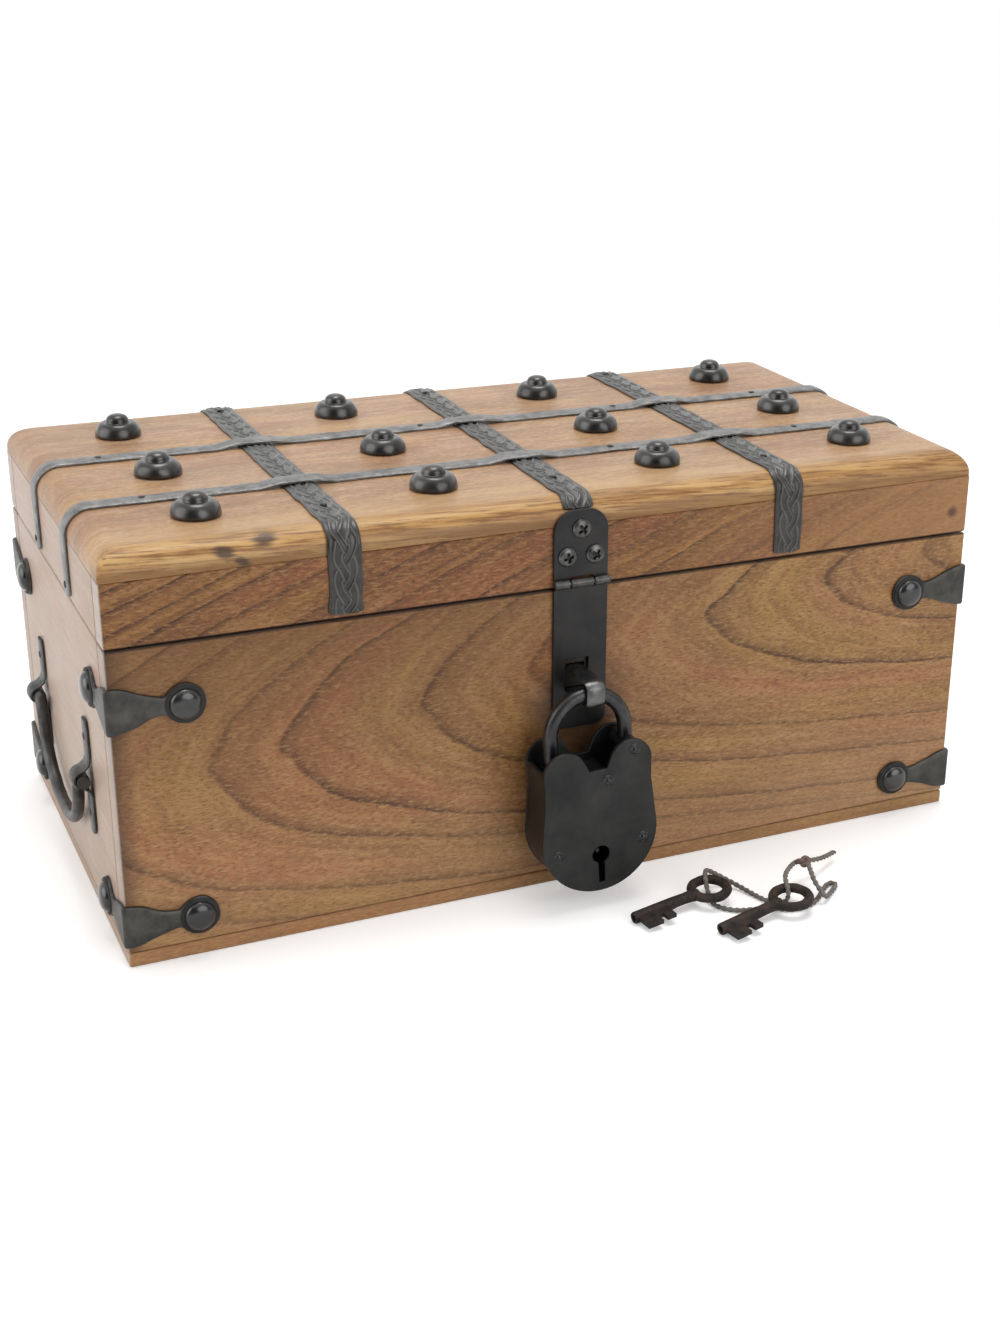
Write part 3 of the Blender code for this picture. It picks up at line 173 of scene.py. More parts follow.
class Value:
    """A shader socket that takes part in sums and products like a number."""

    def __init__(self, paint, socket):
        self.paint, self.socket = paint, socket

    def maths(self, operation, first, second=0.0, third=0.0, clamp=False):
        return self.paint.make("Math", {"operation": operation, "use_clamp": clamp},
                               {0: first, 1: second, 2: third})

    def __add__(self, other):
        return self.maths("ADD", self, other)

    def __sub__(self, other):
        return self.maths("SUBTRACT", self, other)

    def __rsub__(self, other):
        return self.maths("SUBTRACT", other, self)

    def __mul__(self, other):
        return self.maths("MULTIPLY", self, other)

    def __truediv__(self, other):
        return self.maths("DIVIDE", self, other)

    def __pow__(self, other):
        return self.maths("POWER", self, other)

    __radd__, __rmul__ = __add__, __mul__

    def over(self, low, high):
        """0 up to the first value, 1 from the second one on, with an even slope between. Where
        the second is the lesser number, it is 1 below and 0 above."""
        return self.maths("MULTIPLY_ADD", self, 1 / (high - low), -low / (high - low), clamp=True)

    def above(self, floor):
        return self.maths("MAXIMUM", self, floor)

    def below(self, ceiling):
        return self.maths("MINIMUM", self, ceiling)

    def root(self):
        return self.maths("SQRT", self)

    def far(self, other):
        """The root of the sum of both squares."""
        return (self * self + other * other).root()

    def size(self):
        return self.maths("ABSOLUTE", self)

    def part(self):
        return self.maths("FRACT", self)


class Nodes:
    """A tree of shader nodes and the ways to add to it."""

    def __init__(self, tree):
        self.tree = tree

    def make(self, kind, settings=None, sockets=None, out=0):
        """Any node: its settings come first, then its sockets' values or links."""
        node = self.tree.nodes.new("ShaderNode" + kind)
        for key, value in (settings or {}).items():
            setattr(node, key, value)
        for key, value in (sockets or {}).items():
            self.feed(node.inputs[key], value)
        return Value(self, node.outputs[out])

    def feed(self, socket, value):
        """Link a value to a socket, or set the socket to a plain number or colour."""
        if isinstance(value, Value):
            self.tree.links.new(value.socket, socket)
        elif isinstance(value, tuple) and socket.type == "RGBA":
            socket.default_value = (*value, 1)
        else:
            socket.default_value = value

    def parts(self, vector):
        """The three parts of a vector."""
        first = self.make("SeparateXYZ", sockets={0: vector})
        return tuple(Value(self, output) for output in first.socket.node.outputs)


class Paint(Nodes):
    """One finish on a Principled shader, with the plain values of some of its sockets."""

    def __init__(self, name, plain):
        self.material = bpy.data.materials.new(name)
        self.material.use_nodes = True
        super().__init__(self.material.node_tree)
        self.shader = self.tree.nodes["Principled BSDF"]
        for key, value in plain.items():
            self.feed(self.shader.inputs[key], value)

    def spot(self):
        """The place on the object, in metres."""
        return self.make("TexCoord", out="Object")

    def joined(self, first, second, third):
        """A vector from three numbers."""
        return self.make("CombineXYZ", sockets={0: first, 1: second, 2: third})

    def moved(self, vector, step):
        """A vector with the same step added to each of its parts."""
        return self.make("VectorMath", {"operation": "ADD"}, {0: vector, 1: (step, step, step)})

    def noise(self, vector, scale, detail=3.0, rough=0.55, bend=0.0, stretch=None):
        """Cloudy noise from 0 to 1, where each part of the place may be multiplied first."""
        if stretch:
            vector = self.make("VectorMath", {"operation": "MULTIPLY"}, {0: vector, 1: stretch})
        return self.make("TexNoise", sockets={"Vector": vector, "Scale": scale, "Detail": detail,
                                              "Roughness": rough, "Distortion": bend})

    def blend(self, share, first, second):
        """A mix of two colours."""
        return self.make("Mix", {"data_type": "RGBA"}, {0: share, 6: first, 7: second}, out=2)

    def layers(self, colour, *coats):
        """A colour with other colours laid over it in turn, each by its own share."""
        for share, coat in coats:
            colour = self.blend(share, colour, coat)
        return colour

    def finish(self, colour, roughness=None, height=None, depth=0.0, strength=1.0):
        """Feed the shader its colour, roughness and surface relief."""
        self.feed(self.shader.inputs["Base Color"], colour)
        if roughness is not None:
            self.feed(self.shader.inputs["Roughness"], roughness)
        if height is not None:
            relief = self.make("Bump", sockets={"Strength": strength, "Distance": depth,
                                                "Height": height})
            self.feed(self.shader.inputs["Normal"], relief)
        return self


string_route = np.array([
    (106.6, -121.5, 4.0), (100.8, -125.2, 5.2), (94.5, -128.6, 6.6), (88.0, -130.6, 8.2),
    (82.6, -131.4, 9.2), (78.4, -134.2, 9.8), (73.2, -138.8, 9.8), (70.4, -143.2, 9.3),
    (69.6, -147.0, 6.6), (68.6, -148.0, 2.6), (65.6, -145.6, 1.1), (62.4, -141.6, 1.0),
    (60.2, -135.2, 1.2), (57.4, -128.4, 2.0), (53.8, -123.6, 3.6), (49.4, -121.4, 6.2),
    (45.0, -122.8, 8.9), (42.8, -127.2, 7.6), (41.8, -131.6, 3.6), (41.8, -136.0, 1.3),
    (43.6, -140.8, 1.0), (48.6, -144.9, 1.0), (54.8, -146.6, 1.0), (61.0, -148.4, 1.0),
    (67.4, -152.0, 1.0), (74.0, -153.0, 1.0), (80.6, -150.4, 1.0), (86.4, -145.2, 1.0),
    (91.2, -140.8, 1.0), (94.4, -139.6, 1.2), (95.4, -141.8, 1.4), (92.6, -144.6, 1.4),
    (88.2, -148.4, 1.6), (84.6, -151.4, 2.6), (82.4, -151.2, 5.6), (81.6, -147.0, 8.4),
    (83.0, -141.6, 10.0), (84.6, -136.4, 10.8)]) * MM
string_radius, string_low, string_easing = 0.9 * MM, 1.1 * MM, 24
string_line = smooth_line(string_route, 0.35 * MM)
for _ in range(string_easing):
    string_line[1:-1] = (string_line[:-2] + 2 * string_line[1:-1] + string_line[2:]) / 4
string_line[:, 2] = np.maximum(string_line[:, 2], string_low)

twine = Paint("jute_twine", {"Roughness": 0.9})
twine_spot = twine.spot()
twine_cloud = twine.noise(twine_spot, 180, 3)
twine_fibre = twine.noise(twine_spot, 2600, 4, 0.7)
twine_tone = twine.blend(twine_cloud.over(0.35, 0.65), (0.085, 0.068, 0.054), (0.15, 0.132, 0.115))
twine.finish(twine.blend(twine_fibre.over(0.35, 0.75), twine_tone, (0.24, 0.22, 0.195)),
             height=twine_fibre, depth=0.3 * MM)

string = shell("string", tube(string_line, string_radius, 18, lobes=2, depth=0.2, pitch=5.2 * MM))
fit(string, twine, "box", "string_fibre", "key_string")


# The knot: a tight overhand knot of the same twine, stained red-brown, where both ends meet.
# Its line is a trefoil: two turns one way round with three waves up and down.
def points(x, y, z):
    """Points from their three coordinates, each an array or one number for all."""
    return np.stack(np.broadcast_arrays(x, y, z), axis=-1)


knot_middle = np.array([84.0, -134.6, 10.6]) * MM
knot_size = np.array([0.92, 0.72, 0.72]) * MM
knot_turn, knot_angle, knot_radius = circle(160), circle(14), 1.0 * MM
knot_line = knot_middle + knot_size * points(np.sin(knot_turn) + 2 * np.sin(2 * knot_turn),
                                             np.cos(knot_turn) - 2 * np.cos(2 * knot_turn),
                                             -np.sin(3 * knot_turn))
knot_along = unit(np.roll(knot_line, -1, axis=0) - np.roll(knot_line, 1, axis=0))
knot_side = unit(np.cross(knot_along, (0.0, 0.0, 1.0)))
knot_rings = swept(knot_line, knot_radius * np.cos(knot_angle), knot_radius * np.sin(knot_angle),
                   knot_side, np.cross(knot_side, knot_along))
stain = Paint("stained_knot", {"Roughness": 0.85})
stain_fibre = stain.noise(stain.spot(), 2200, 4, 0.7)
stain.finish(stain.blend(stain_fibre.over(0.3, 0.75), (0.09, 0.055, 0.045), (0.24, 0.17, 0.145)),
             height=stain_fibre, depth=0.4 * MM)
knot = fit(shell("string_knot", knot_rings, closed=False), stain, "box", "string_fibre")


# The keys: two old barrel keys of rusty black iron, each with a drilled barrel, a plain bow and
# a notched bit, forged in one. They lie on the floor with their bows a little raised.
def turned(profile, base, axis, steps, side=(1.0, 0.0, 0.0)):
    """Rings of a turned shape: each profile point is a radius and a height along the axis."""
    axis, side = unit(np.asarray(axis, float)), np.asarray(side, float)
    side = unit(side - axis * side.dot(axis))
    angle = circle(steps)[None, :, None]
    outward = np.cos(angle) * side + np.sin(angle) * np.cross(axis, side)
    radius, height = np.asarray(profile, float).T[..., None, None]
    return np.asarray(base) + height * axis + radius * outward


def wandering(spots, size, seed):
    """A smooth uneven height from about -1 to 1: the mean of seven plane waves about size metres
    long, with directions and phases from a seeded generator."""
    chance = np.random.default_rng(seed)
    ways = unit(chance.normal(size=(7, 3))) * (2 * math.pi / size) * chance.uniform(0.7, 1.5, (7, 1))
    return np.sin(spots @ ways.T + chance.uniform(0, 2 * math.pi, 7)).mean(axis=-1) * 1.6


def dented(grid, amount, size, seed):
    """A grid with each point moved by a wandering height, times an amount that is one for all
    or one for each ring, away from its ring's middle."""
    outward = grid - grid.mean(axis=1, keepdims=True)
    length = np.linalg.norm(outward, axis=-1, keepdims=True)
    return grid + outward / np.maximum(length, 1e-6) * (amount * wandering(grid, size, seed))[..., None]


def stamped(outline, place, low, high, edge):
    """Rings of a flat plate: its outline at the low side, up the edge, drawn in by the edge's
    rounding at the high side and a little further, so that the flat stays flat."""
    x, y = outline.T
    area = np.sum(x * np.roll(y, -1) - np.roll(x, -1) * y)
    back, ahead = outline - np.roll(outline, 1, axis=0), np.roll(outline, -1, axis=0) - outline
    normal = unit(sum(unit(np.column_stack([way[:, 1], -way[:, 0]])) for way in (back, ahead)))
    inward = -normal * np.sign(area)
    step = math.copysign(edge, high - low)
    rings = [(2 * edge, low), (edge, low), (0.3 * edge, low + 0.3 * step), (0, low + step),
             (0, high - step), (0.3 * edge, high - 0.3 * step), (edge, high), (2 * edge, high)]
    return np.stack([place(*(outline + inward * inset).T, level) for inset, level in rings])


key_iron = Paint("rusty_key_iron", {"Roughness": 0.6, "Metallic": 0.55})
key_spot = key_iron.spot()
key_cloud = key_iron.noise(key_spot, 220, 4)
key_grain = key_iron.noise(key_spot, 1500, 4, 0.7)
key_tone = key_iron.blend(key_cloud.over(0.42, 0.68), (0.017, 0.015, 0.014), (0.055, 0.036, 0.027))
key_iron.finish(key_iron.blend(key_grain.over(0.55, 0.8), key_tone, (0.090, 0.078, 0.070)),
                roughness=0.42 + 0.35 * key_grain, height=key_grain + key_cloud, depth=0.35 * MM)

key_length, key_rise = 36 * MM, 3.1 * MM
barrel_radius, bow_radius, bow_bar = 2.5 * MM, 7.4 * MM, 2.0 * MM
barrel_profile = np.array([
    (0.2, 9), (1.35, 9), (1.35, 0.4), (1.6, 0), (2.25, 0), (2.45, 0.5), (2.45, 17), (2.35, 20),
    (2.25, 24), (2.45, 27), (2.7, 28.6), (1.8, 30.6), (0.3, 31)]) * MM
bit_outline = np.array([(1.2, -0.6), (1.2, -9.2), (8.2, -9.2), (8.2, -5.1), (10.6, -5.1),
                        (10.6, -8.3), (14.7, -8.3), (14.7, -0.6)]) * MM
bow_turn, bar_turn = circle(64), circle(18)
key_places = {"key_1": ((6.5, -136.2), 7.2), "key_2": ((33.5, -157.6), 11.0)}
for number, (key_name, (end, heading)) in enumerate(key_places.items()):
    lift = Matrix.Rotation(-math.asin(key_rise / key_length), 3, "Y")
    key_ways = np.array(Matrix.Rotation(math.radians(heading), 3, "Z") @ lift)
    key_start = np.array([end[0] * MM, end[1] * MM, barrel_radius])

    def on_key(x, y, z, ways=key_ways, start=key_start):
        """Places on the key: x from the barrel's mouth to the bow, y to its left, z up."""
        return start + points(x, y, z) @ ways.T

    barrel = turned(barrel_profile, key_start, key_ways[:, 0], 28, key_ways[:, 1])
    bow_line = on_key(key_length + bow_radius * 0.94 * np.cos(bow_turn),
                      bow_radius * np.sin(bow_turn), 0.0)
    bow = swept(bow_line, bow_bar * np.cos(bar_turn), bow_bar * 0.95 * np.sin(bar_turn),
                unit(bow_line - on_key(key_length, 0.0, 0.0)), key_ways[:, 2])
    barrel, bow = (dented(grid, 0.12 * MM, 5 * MM, 40 + number) for grid in (barrel, bow))
    bit = stamped(bit_outline, on_key, -1.0 * MM, 1.0 * MM, 0.3 * MM)
    for piece in (shell(key_name + "_barrel", barrel, bit),
                  shell(key_name + "_bow", bow, closed=False)):
        fit(piece, key_iron, "box", "key_iron", key_name)


# The boards of the box: waxed mid-brown hardwood, planed, glued and pinned at the corners. The
# front was sawn from near the bark, so its growth rings show as long arches that open to the right.
half_length, half_depth, board = 180 * MM, 92 * MM, 11 * MM


def arched_reach(along, across):
    """Distance from the log's heart: the heart dips nearer to the face towards the right, and
    heights are taken from an axis that climbs a little and stretched. Next to the axis it grows
    faster, which brings the arches to a point."""
    level = across - (76.5 * MM + 0.148 * (along + 142 * MM))
    lower_stretch = 1.14 - 0.22 * along.over(0.0, 175 * MM)
    depth = 23 * MM + 0.27 * (half_length - along)
    point = level.far(2.5 * MM).below(7.5 * MM) * 0.17
    return (level.above(0.0) * 1.36 + level.below(0.0) * lower_stretch).far(depth) + point


def straight_reach(along, across):
    """Distance from a heart far off to one side: nearly straight lines along the board."""
    return (across + 90 * MM - 0.035 * along).far(30 * MM)


def timber(name, ways, reach_of, lines, tones, seed=0.0, contrast=1.0, spacing=3.4 * MM, faint=0.3):
    """Waxed wood. Each late-wood line is a level line of the reach from the heart: sharp on its
    bark side, with a shade that fades inwards. Fainter lines follow at an even spacing. The finer
    figure is noise in which the reach counts fully and places along the board a little, so that
    it runs with the rings; pores are short dashes."""
    paint = Paint(name, {"Roughness": 0.4, "Specular IOR Level": 0.35, "Sheen Weight": 0.10,
                         "Sheen Roughness": 0.35})
    plain, deep, red, gold, line, pale = tones
    place = paint.spot()
    spot = paint.moved(place, seed)
    parts = paint.parts(place)
    along, across = (parts[way] for way in ways)
    dash, streak = (tuple(share if part == ways[0] else 1.0 for part in range(3))
                    for share in (0.28, 0.6))
    wave = paint.noise(spot, 20, 2)
    ripple = paint.noise(spot, 150, 2)
    reach = reach_of(along, across) + 3.5 * MM * (wave - 0.5) + 0.7 * MM * (ripple - 0.5)
    ringwise = paint.moved(paint.joined(reach, along * 0.07, across * 0.07), seed)
    uneven = 2.2 * MM * paint.noise(paint.joined(reach, 0.0, 0.0), 300, 2)
    cycle = ((reach + uneven) / spacing).part()
    some = paint.noise(ringwise, 240, 2).over(0.40, 0.62)
    late = cycle ** 6.0 * cycle.over(1.0, 0.90) * faint * some
    halo = late * 0.5
    for radius, weight in lines:
        inner = reach.over((radius - 7.0) * MM, radius * MM)
        outer = reach.over((radius + 0.55) * MM, (radius + 0.1) * MM) * weight
        late = late + outer * inner ** 8.5
        halo = halo + outer * inner ** 2.0
    fade = paint.noise(spot, 34, 3).over(0.3, 0.62)
    band = paint.noise(ringwise, 120, 4, 0.6)
    figure = paint.noise(ringwise, 520, 4, 0.6)
    patch = paint.noise(spot, 44, 4, 0.6, 0.4, stretch=streak)
    tint = paint.noise(paint.moved(ringwise, 0.37), 70, 4, 0.62)
    pores = paint.noise(spot, 1500, 3, 0.6, stretch=dash)
    grit = paint.noise(spot, 1100, 3, 0.7, stretch=dash)
    paint.figure, paint.pores = figure, pores
    paint.wood = paint.layers(
        paint.blend(patch.over(0.32, 0.7), deep, plain),
        (tint.over(0.5, 0.75) * (0.75 * contrast), red),
        (tint.over(0.5, 0.28) * (0.75 * contrast), gold),
        (band.over(0.42, 0.72) * (0.55 * contrast), deep),
        (figure.over(0.48, 0.70) * (0.26 * contrast), line),
        (figure.over(0.5, 0.28) * (0.40 * contrast), pale),
        (halo * (0.14 + 0.20 * fade), line),
        ((late * (0.64 + 0.30 * fade)).below(0.9), line),
        (pores.over(0.51, 0.60) * (0.48 * contrast), line),
        (grit.over(0.50, 0.64) * (0.46 * contrast), pale))
    return paint.finish(paint.wood, roughness=0.32 + 0.14 * figure, height=figure - pores,
                        depth=0.1 * MM, strength=0.35)


def dress(paint, *names):
    """Give CAD nodes whose shape is right their finish."""
    for name in names:
        nodes[name].data.materials.clear()
        nodes[name].data.materials.append(paint.material)


# The pale colour for the boards' ends is painted sheen: the wash of light on them.
end_sheen_colour, seam_black = (0.66, 0.59, 0.54), (0.015, 0.008, 0.005)


def with_end_sheen(paint, share, colour):
    """A colour that is paler on the sawn ends of a board that runs the chest's whole length: painted sheen,
    the wash of light on the ends.
    """
    at_end = paint.parts(paint.spot())[0].size().over(half_length - 0.5 * MM, half_length - 0.1 * MM)
    return paint.blend(at_end * share, colour, end_sheen_colour)


front_lines = ((29, 0.6), (41.6, 0.85), (56.2, 1.0), (77, 0.6), (89.4, 1.0), (104, 1.0), (111, 0.7),
               (125, 0.9), (134, 0.8), (143, 1.0), (152, 0.8), (161, 1.0), (170, 0.8))
front_tones = ((0.330, 0.162, 0.060), (0.250, 0.118, 0.042), (0.390, 0.125, 0.060),
               (0.380, 0.215, 0.048), (0.060, 0.022, 0.008), (0.470, 0.285, 0.120))
front_wood = timber("front_wood", (0, 2), arched_reach, front_lines, front_tones)
front_x, front_y, front_z = front_wood.parts(front_wood.spot())
at_front = front_y.over(-86 * MM, -90 * MM)
# Darker towards the top left: patina and painted shade.
patina_and_shade = front_z.over(45 * MM, 130 * MM) * front_x.over(120 * MM, -60 * MM)
# Paler towards the bottom right: painted light, as bounced up from the white floor.
painted_floor_light = front_z.over(55 * MM, 5 * MM) * (0.5 + 0.5 * front_x.over(-40 * MM, 120 * MM))
# Darkest just behind the padlock: a rub mark and the padlock's painted shadow.
rub_and_lock_shadow = (front_x - 1 * MM).size().over(25 * MM, 10 * MM)
rub_and_lock_shadow = rub_and_lock_shadow * (front_z - 66 * MM).size().over(31 * MM, 14 * MM)
# Darker along the front's left edge.
left_edge_dark = (front_x + 4 * MM * (front_wood.figure - 0.5)).over(-172 * MM, -179 * MM)
# Near black round the staple, in the flap's slot: painted shade.
staple_shade = front_x.size().over(9 * MM, 5 * MM) * (front_z - 89 * MM).size().over(13 * MM, 8 * MM)
seam_dirt = front_z.over(125.0 * MM, 125.7 * MM)
front_wood.finish(with_end_sheen(front_wood, 0.36, front_wood.layers(
    front_wood.wood,
    (patina_and_shade * 0.62, (0.10, 0.036, 0.006)),
    (painted_floor_light * 0.30, (0.55, 0.34, 0.20)),
    (rub_and_lock_shadow * at_front * 0.8, (0.030, 0.013, 0.007)),
    (left_edge_dark * at_front * 0.6, (0.035, 0.016, 0.009)),
    (staple_shade * at_front * 0.95, (0.006, 0.004, 0.003)),
    (seam_dirt * at_front * 0.8, seam_black))))
dress(front_wood, "front_board", "back_board")

lid_lines = ((48, 0.6), (61, 0.7), (74, 0.8), (86, 0.7), (97, 0.9), (110, 0.7), (121, 0.9), (132, 0.8),
             (140, 1.0), (146, 0.7), (153, 1.0), (160, 0.9))
lid_tones = ((0.235, 0.094, 0.029), (0.165, 0.062, 0.018), (0.300, 0.088, 0.036),
             (0.300, 0.145, 0.030), (0.045, 0.015, 0.006), (0.380, 0.200, 0.080))
lid_wood = timber("lid_wood", (0, 2), arched_reach, lid_lines, lid_tones, seed=0.4,
                  spacing=4.1 * MM, faint=0.7)
lid_x, _, lid_z = lid_wood.parts(lid_wood.spot())
knot_far = (lid_x - 172.4 * MM).far(lid_z - 136 * MM) + 2 * MM * (lid_wood.pores - 0.5)
lid_wood.finish(with_end_sheen(lid_wood, 0.5, lid_wood.layers(
    lid_wood.wood,
    (lid_x.over(40 * MM, 180 * MM) * 0.45, (0.44, 0.235, 0.105)),
    (knot_far.over(3.2 * MM, 1.0 * MM) * 0.8, (0.05, 0.025, 0.015)),
    (lid_z.over(127.5 * MM, 126.9 * MM) * 0.8, seam_black))))
dress(lid_wood, "lid_front_rail", "lid_back_rail")

bottom_wood = timber("bottom_wood", (0, 2), straight_reach, (), front_tones, seed=0.7)
bottom_pale = bottom_wood.blend(0.3, bottom_wood.wood, (0.44, 0.26, 0.12))
bottom_wood.finish(with_end_sheen(bottom_wood, 0.3, bottom_pale))
dress(bottom_wood, "bottom_board")

end_wood = timber("end_wood", (1, 2), straight_reach, ((104, 0.4), (131, 0.5)), front_tones,
                  seed=1.3, contrast=0.8)
# The end boards are paled in clouds towards it: painted sheen.
end_sheen = end_wood.noise(end_wood.spot(), 14, 3).over(0.2, 0.7) * 0.30 + 0.18
end_wood.finish(end_wood.blend(end_sheen, end_wood.wood, end_sheen_colour))
dress(end_wood, "left_end_board", "right_end_board", "lid_left_rail", "lid_right_rail")


# The top board of the lid: one thick plank of the same wood, its upper edge rounded over by hand
# all the way round, with rough grain and three small knots showing along the front.
def rounded_rectangle(half_x, half_y, radius, arc_steps, edge_steps):
    """A rectangle's outline, anticlockwise: a quarter circle at each corner and even steps along
    each straight side."""
    corner = np.array([(1, 1), (-1, 1), (-1, -1), (1, -1)], float)
    angle = np.radians(np.arange(4)[:, None] * 90 + np.linspace(0, 90, arc_steps)[None, :])
    middle = corner * np.array([half_x - radius, half_y - radius])
    arcs = middle[:, None] + radius * np.stack([np.cos(angle), np.sin(angle)], axis=-1)
    share = np.linspace(0, 1, edge_steps + 2)[1:-1, None]
    sides = arcs[:, -1:] * (1 - share) + np.roll(arcs, -1, axis=0)[:, :1] * share
    return np.concatenate([arcs, sides], axis=1).reshape(-1, 2)


top_low, top_high, rounding = 151.05 * MM, 161.2 * MM, 9.3 * MM
top_curve = np.linspace(0, math.pi / 2, 13)[1:]
top_profile = np.vstack([
    [(6 * MM, top_low), (0.12 * MM, top_low), (0, top_low + 0.12 * MM), (0, top_high - rounding)],
    np.column_stack([rounding * (1 - np.cos(top_curve)), top_high - rounding * (1 - np.sin(top_curve))]),
    [(rounding + 1.5 * MM, top_high), (rounding + 4 * MM, top_high)]])
top_rings = []
for inset, level in top_profile:
    outline = rounded_rectangle(half_length - inset, half_depth - inset, 1.5 * MM + 0.3 * inset, 7, 70)
    top_rings.append(points(*outline.T, level))
top_rings = np.stack(top_rings)
sway = wandering(top_rings, 70 * MM, 3) * 0.35 * MM + wandering(top_rings, 16 * MM, 4) * 0.12 * MM
edge_share = np.clip((top_high - 0.2 * MM - top_rings[..., 2]) / rounding, 0, 1)
top_rings[..., 1] -= np.sign(top_rings[..., 1]) * np.abs(sway) * edge_share

top_tones = ((0.40, 0.220, 0.098), (0.31, 0.152, 0.062), (0.44, 0.190, 0.090),
             (0.50, 0.290, 0.095), (0.14, 0.062, 0.026), (0.58, 0.40, 0.25))
top_wood = timber("top_wood", (0, 1), straight_reach, (), top_tones, seed=2.1, contrast=1.1)
top_spot = top_wood.spot()
top_x, top_y, top_z = top_wood.parts(top_spot)
slanted = top_wood.joined(top_x * 0.06, top_y + 0.04 * top_x, top_z * 1.1 + 0.05 * top_x)
streak = top_wood.noise(slanted, 800, 5, 0.72)
stripe = top_wood.noise(slanted, 260, 4, 0.6)
edge_wander = top_wood.noise(top_spot, 90, 3, stretch=(0.3, 1.0, 1.0)) - 0.5
edge_band = (6 * MM * edge_wander - top_y).over(78 * MM, 88 * MM)
edge_low = (top_z + 2.5 * MM * (stripe - 0.5)).over(156.5 * MM, 153.0 * MM)
edge_low = edge_low * streak.over(0.34, 0.58) * (0.8 - 0.45 * top_x.over(0.0, 180 * MM))
edge_wood = top_wood.layers(
    top_wood.blend(streak.over(0.44, 0.56), (0.24, 0.108, 0.028), (0.44, 0.240, 0.075)),
    (stripe.over(0.52, 0.60) * 0.6, (0.56, 0.36, 0.14)),
    (streak.over(0.46, 0.38) * 0.8, (0.13, 0.055, 0.018)),
    (stripe.over(0.48, 0.38) * 0.5, (0.20, 0.090, 0.028)),
    (edge_low, (0.12, 0.048, 0.014)))
# A pale wash in clouds over the top: painted sheen.
painted_sheen = top_wood.noise(top_spot, 26, 3, stretch=(0.5, 1.0, 1.0)).over(0.35, 0.65) * 0.22
grime = top_wood.noise(top_spot, 60, 4, 0.65, stretch=(0.35, 1.0, 1.0))
left_grime = top_x.over(-120 * MM, -180 * MM) * 0.15
glow = top_y.over(-50 * MM, -80 * MM) * (1 - 0.45 * top_x.over(40 * MM, 180 * MM))
glow = glow * (0.22 + 0.38 * stripe)
top_colour = top_wood.layers(
    top_wood.wood,
    (painted_sheen, (0.54, 0.42, 0.32)),
    (grime.over(0.48, 0.70) * 0.5 + left_grime, (0.21, 0.095, 0.036)),
    (grime.over(0.48, 0.28) * 0.4, (0.56, 0.34, 0.13)),
    (glow, (0.58, 0.36, 0.16)),
    (edge_band * 0.9, edge_wood))
edge_knots = ((-120, 159.0, 5.5, 0.2), (-135, 156.4, 4.5, -0.3), (-129, 153.0, 3.6, -0.6))
for knot_x, knot_z, knot_size, knot_lean in edge_knots:
    beside = (top_x - knot_x * MM) * 0.75
    higher = (top_z - knot_z * MM) * 1.3 - knot_lean * beside
    knot_far = beside.far(higher) + 6.0 * MM * (streak - 0.5)
    knot_mask = knot_far.over(0.8 * knot_size * MM, 0.35 * knot_size * MM) * edge_band
    top_colour = top_wood.blend(knot_mask * 0.9, top_colour, (0.055, 0.028, 0.016))
top_wood.finish(top_colour)
fit(shell("lid_top", top_rings), top_wood, "lid", "top_wood", "lid_top_board")


# The lid's straps: hammered iron bands. The cross straps are embossed with a three-strand plait
# and hug the lid from front to back; the long ones step over them and turn down both ends.
def banked(path, step):
    """A flat path resampled every step metres with its corners eased, and its outward normals."""
    path = np.asarray(path, float)
    run = np.append(0, np.cumsum(np.linalg.norm(np.diff(path, axis=0), axis=1)))
    even = np.linspace(0, run[-1], int(run[-1] / step) + 1)
    fine = np.stack([np.interp(even, run, path[:, k]) for k in range(2)], axis=1)
    tangent = unit(np.gradient(fine, axis=0))
    for _ in range(3):
        tangent[1:-1] = unit(tangent[:-2] + 2 * tangent[1:-1] + tangent[2:])
    return fine, np.stack([-tangent[:, 1], tangent[:, 0]], axis=1), even


def strap(path, width, thick, place, relief, depth, seed, ragged, columns=41, tip=2.0 * MM):
    """Rings of a band along a flat path, and the rise of each point: the outer face is crowned
    and lifted by depth times a relief from 0 to 1, the edges wander and the ends are rounded."""
    fine, normal, run = banked(path, 0.36 * MM)
    across = np.linspace(-1, 1, columns)[None, :]
    to_end = np.minimum(run, run[-1] - run)
    round_end = np.sqrt(np.clip(1 - (1 - np.minimum(to_end, tip) / tip) ** 2, 0.12, 1))
    left, right = (width / 2 * (0.55 + 0.45 * round_end)
                   + ragged * wandering(points(run, 0.0, 0.0), size, seed + edge)
                   for edge, size in enumerate((14 * MM, 11 * MM)))
    aside = np.where(across < 0, across * left[:, None], across * right[:, None])
    raised = relief(run[:, None], aside) * (1 - np.abs(across) ** 8)
    height = thick * (1 - 0.45 * np.abs(across) ** 3.2) + depth * raised
    inner = np.stack([right, right * 0.5, -left * 0.5, -left], axis=1)
    aside = np.concatenate([aside, inner], axis=1)
    height, raised = (np.concatenate([part, 0 * inner], axis=1) for part in (height, raised))
    flat = fine[:, None] + normal[:, None] * height[..., None]
    return place(flat[..., 0], flat[..., 1], aside), raised


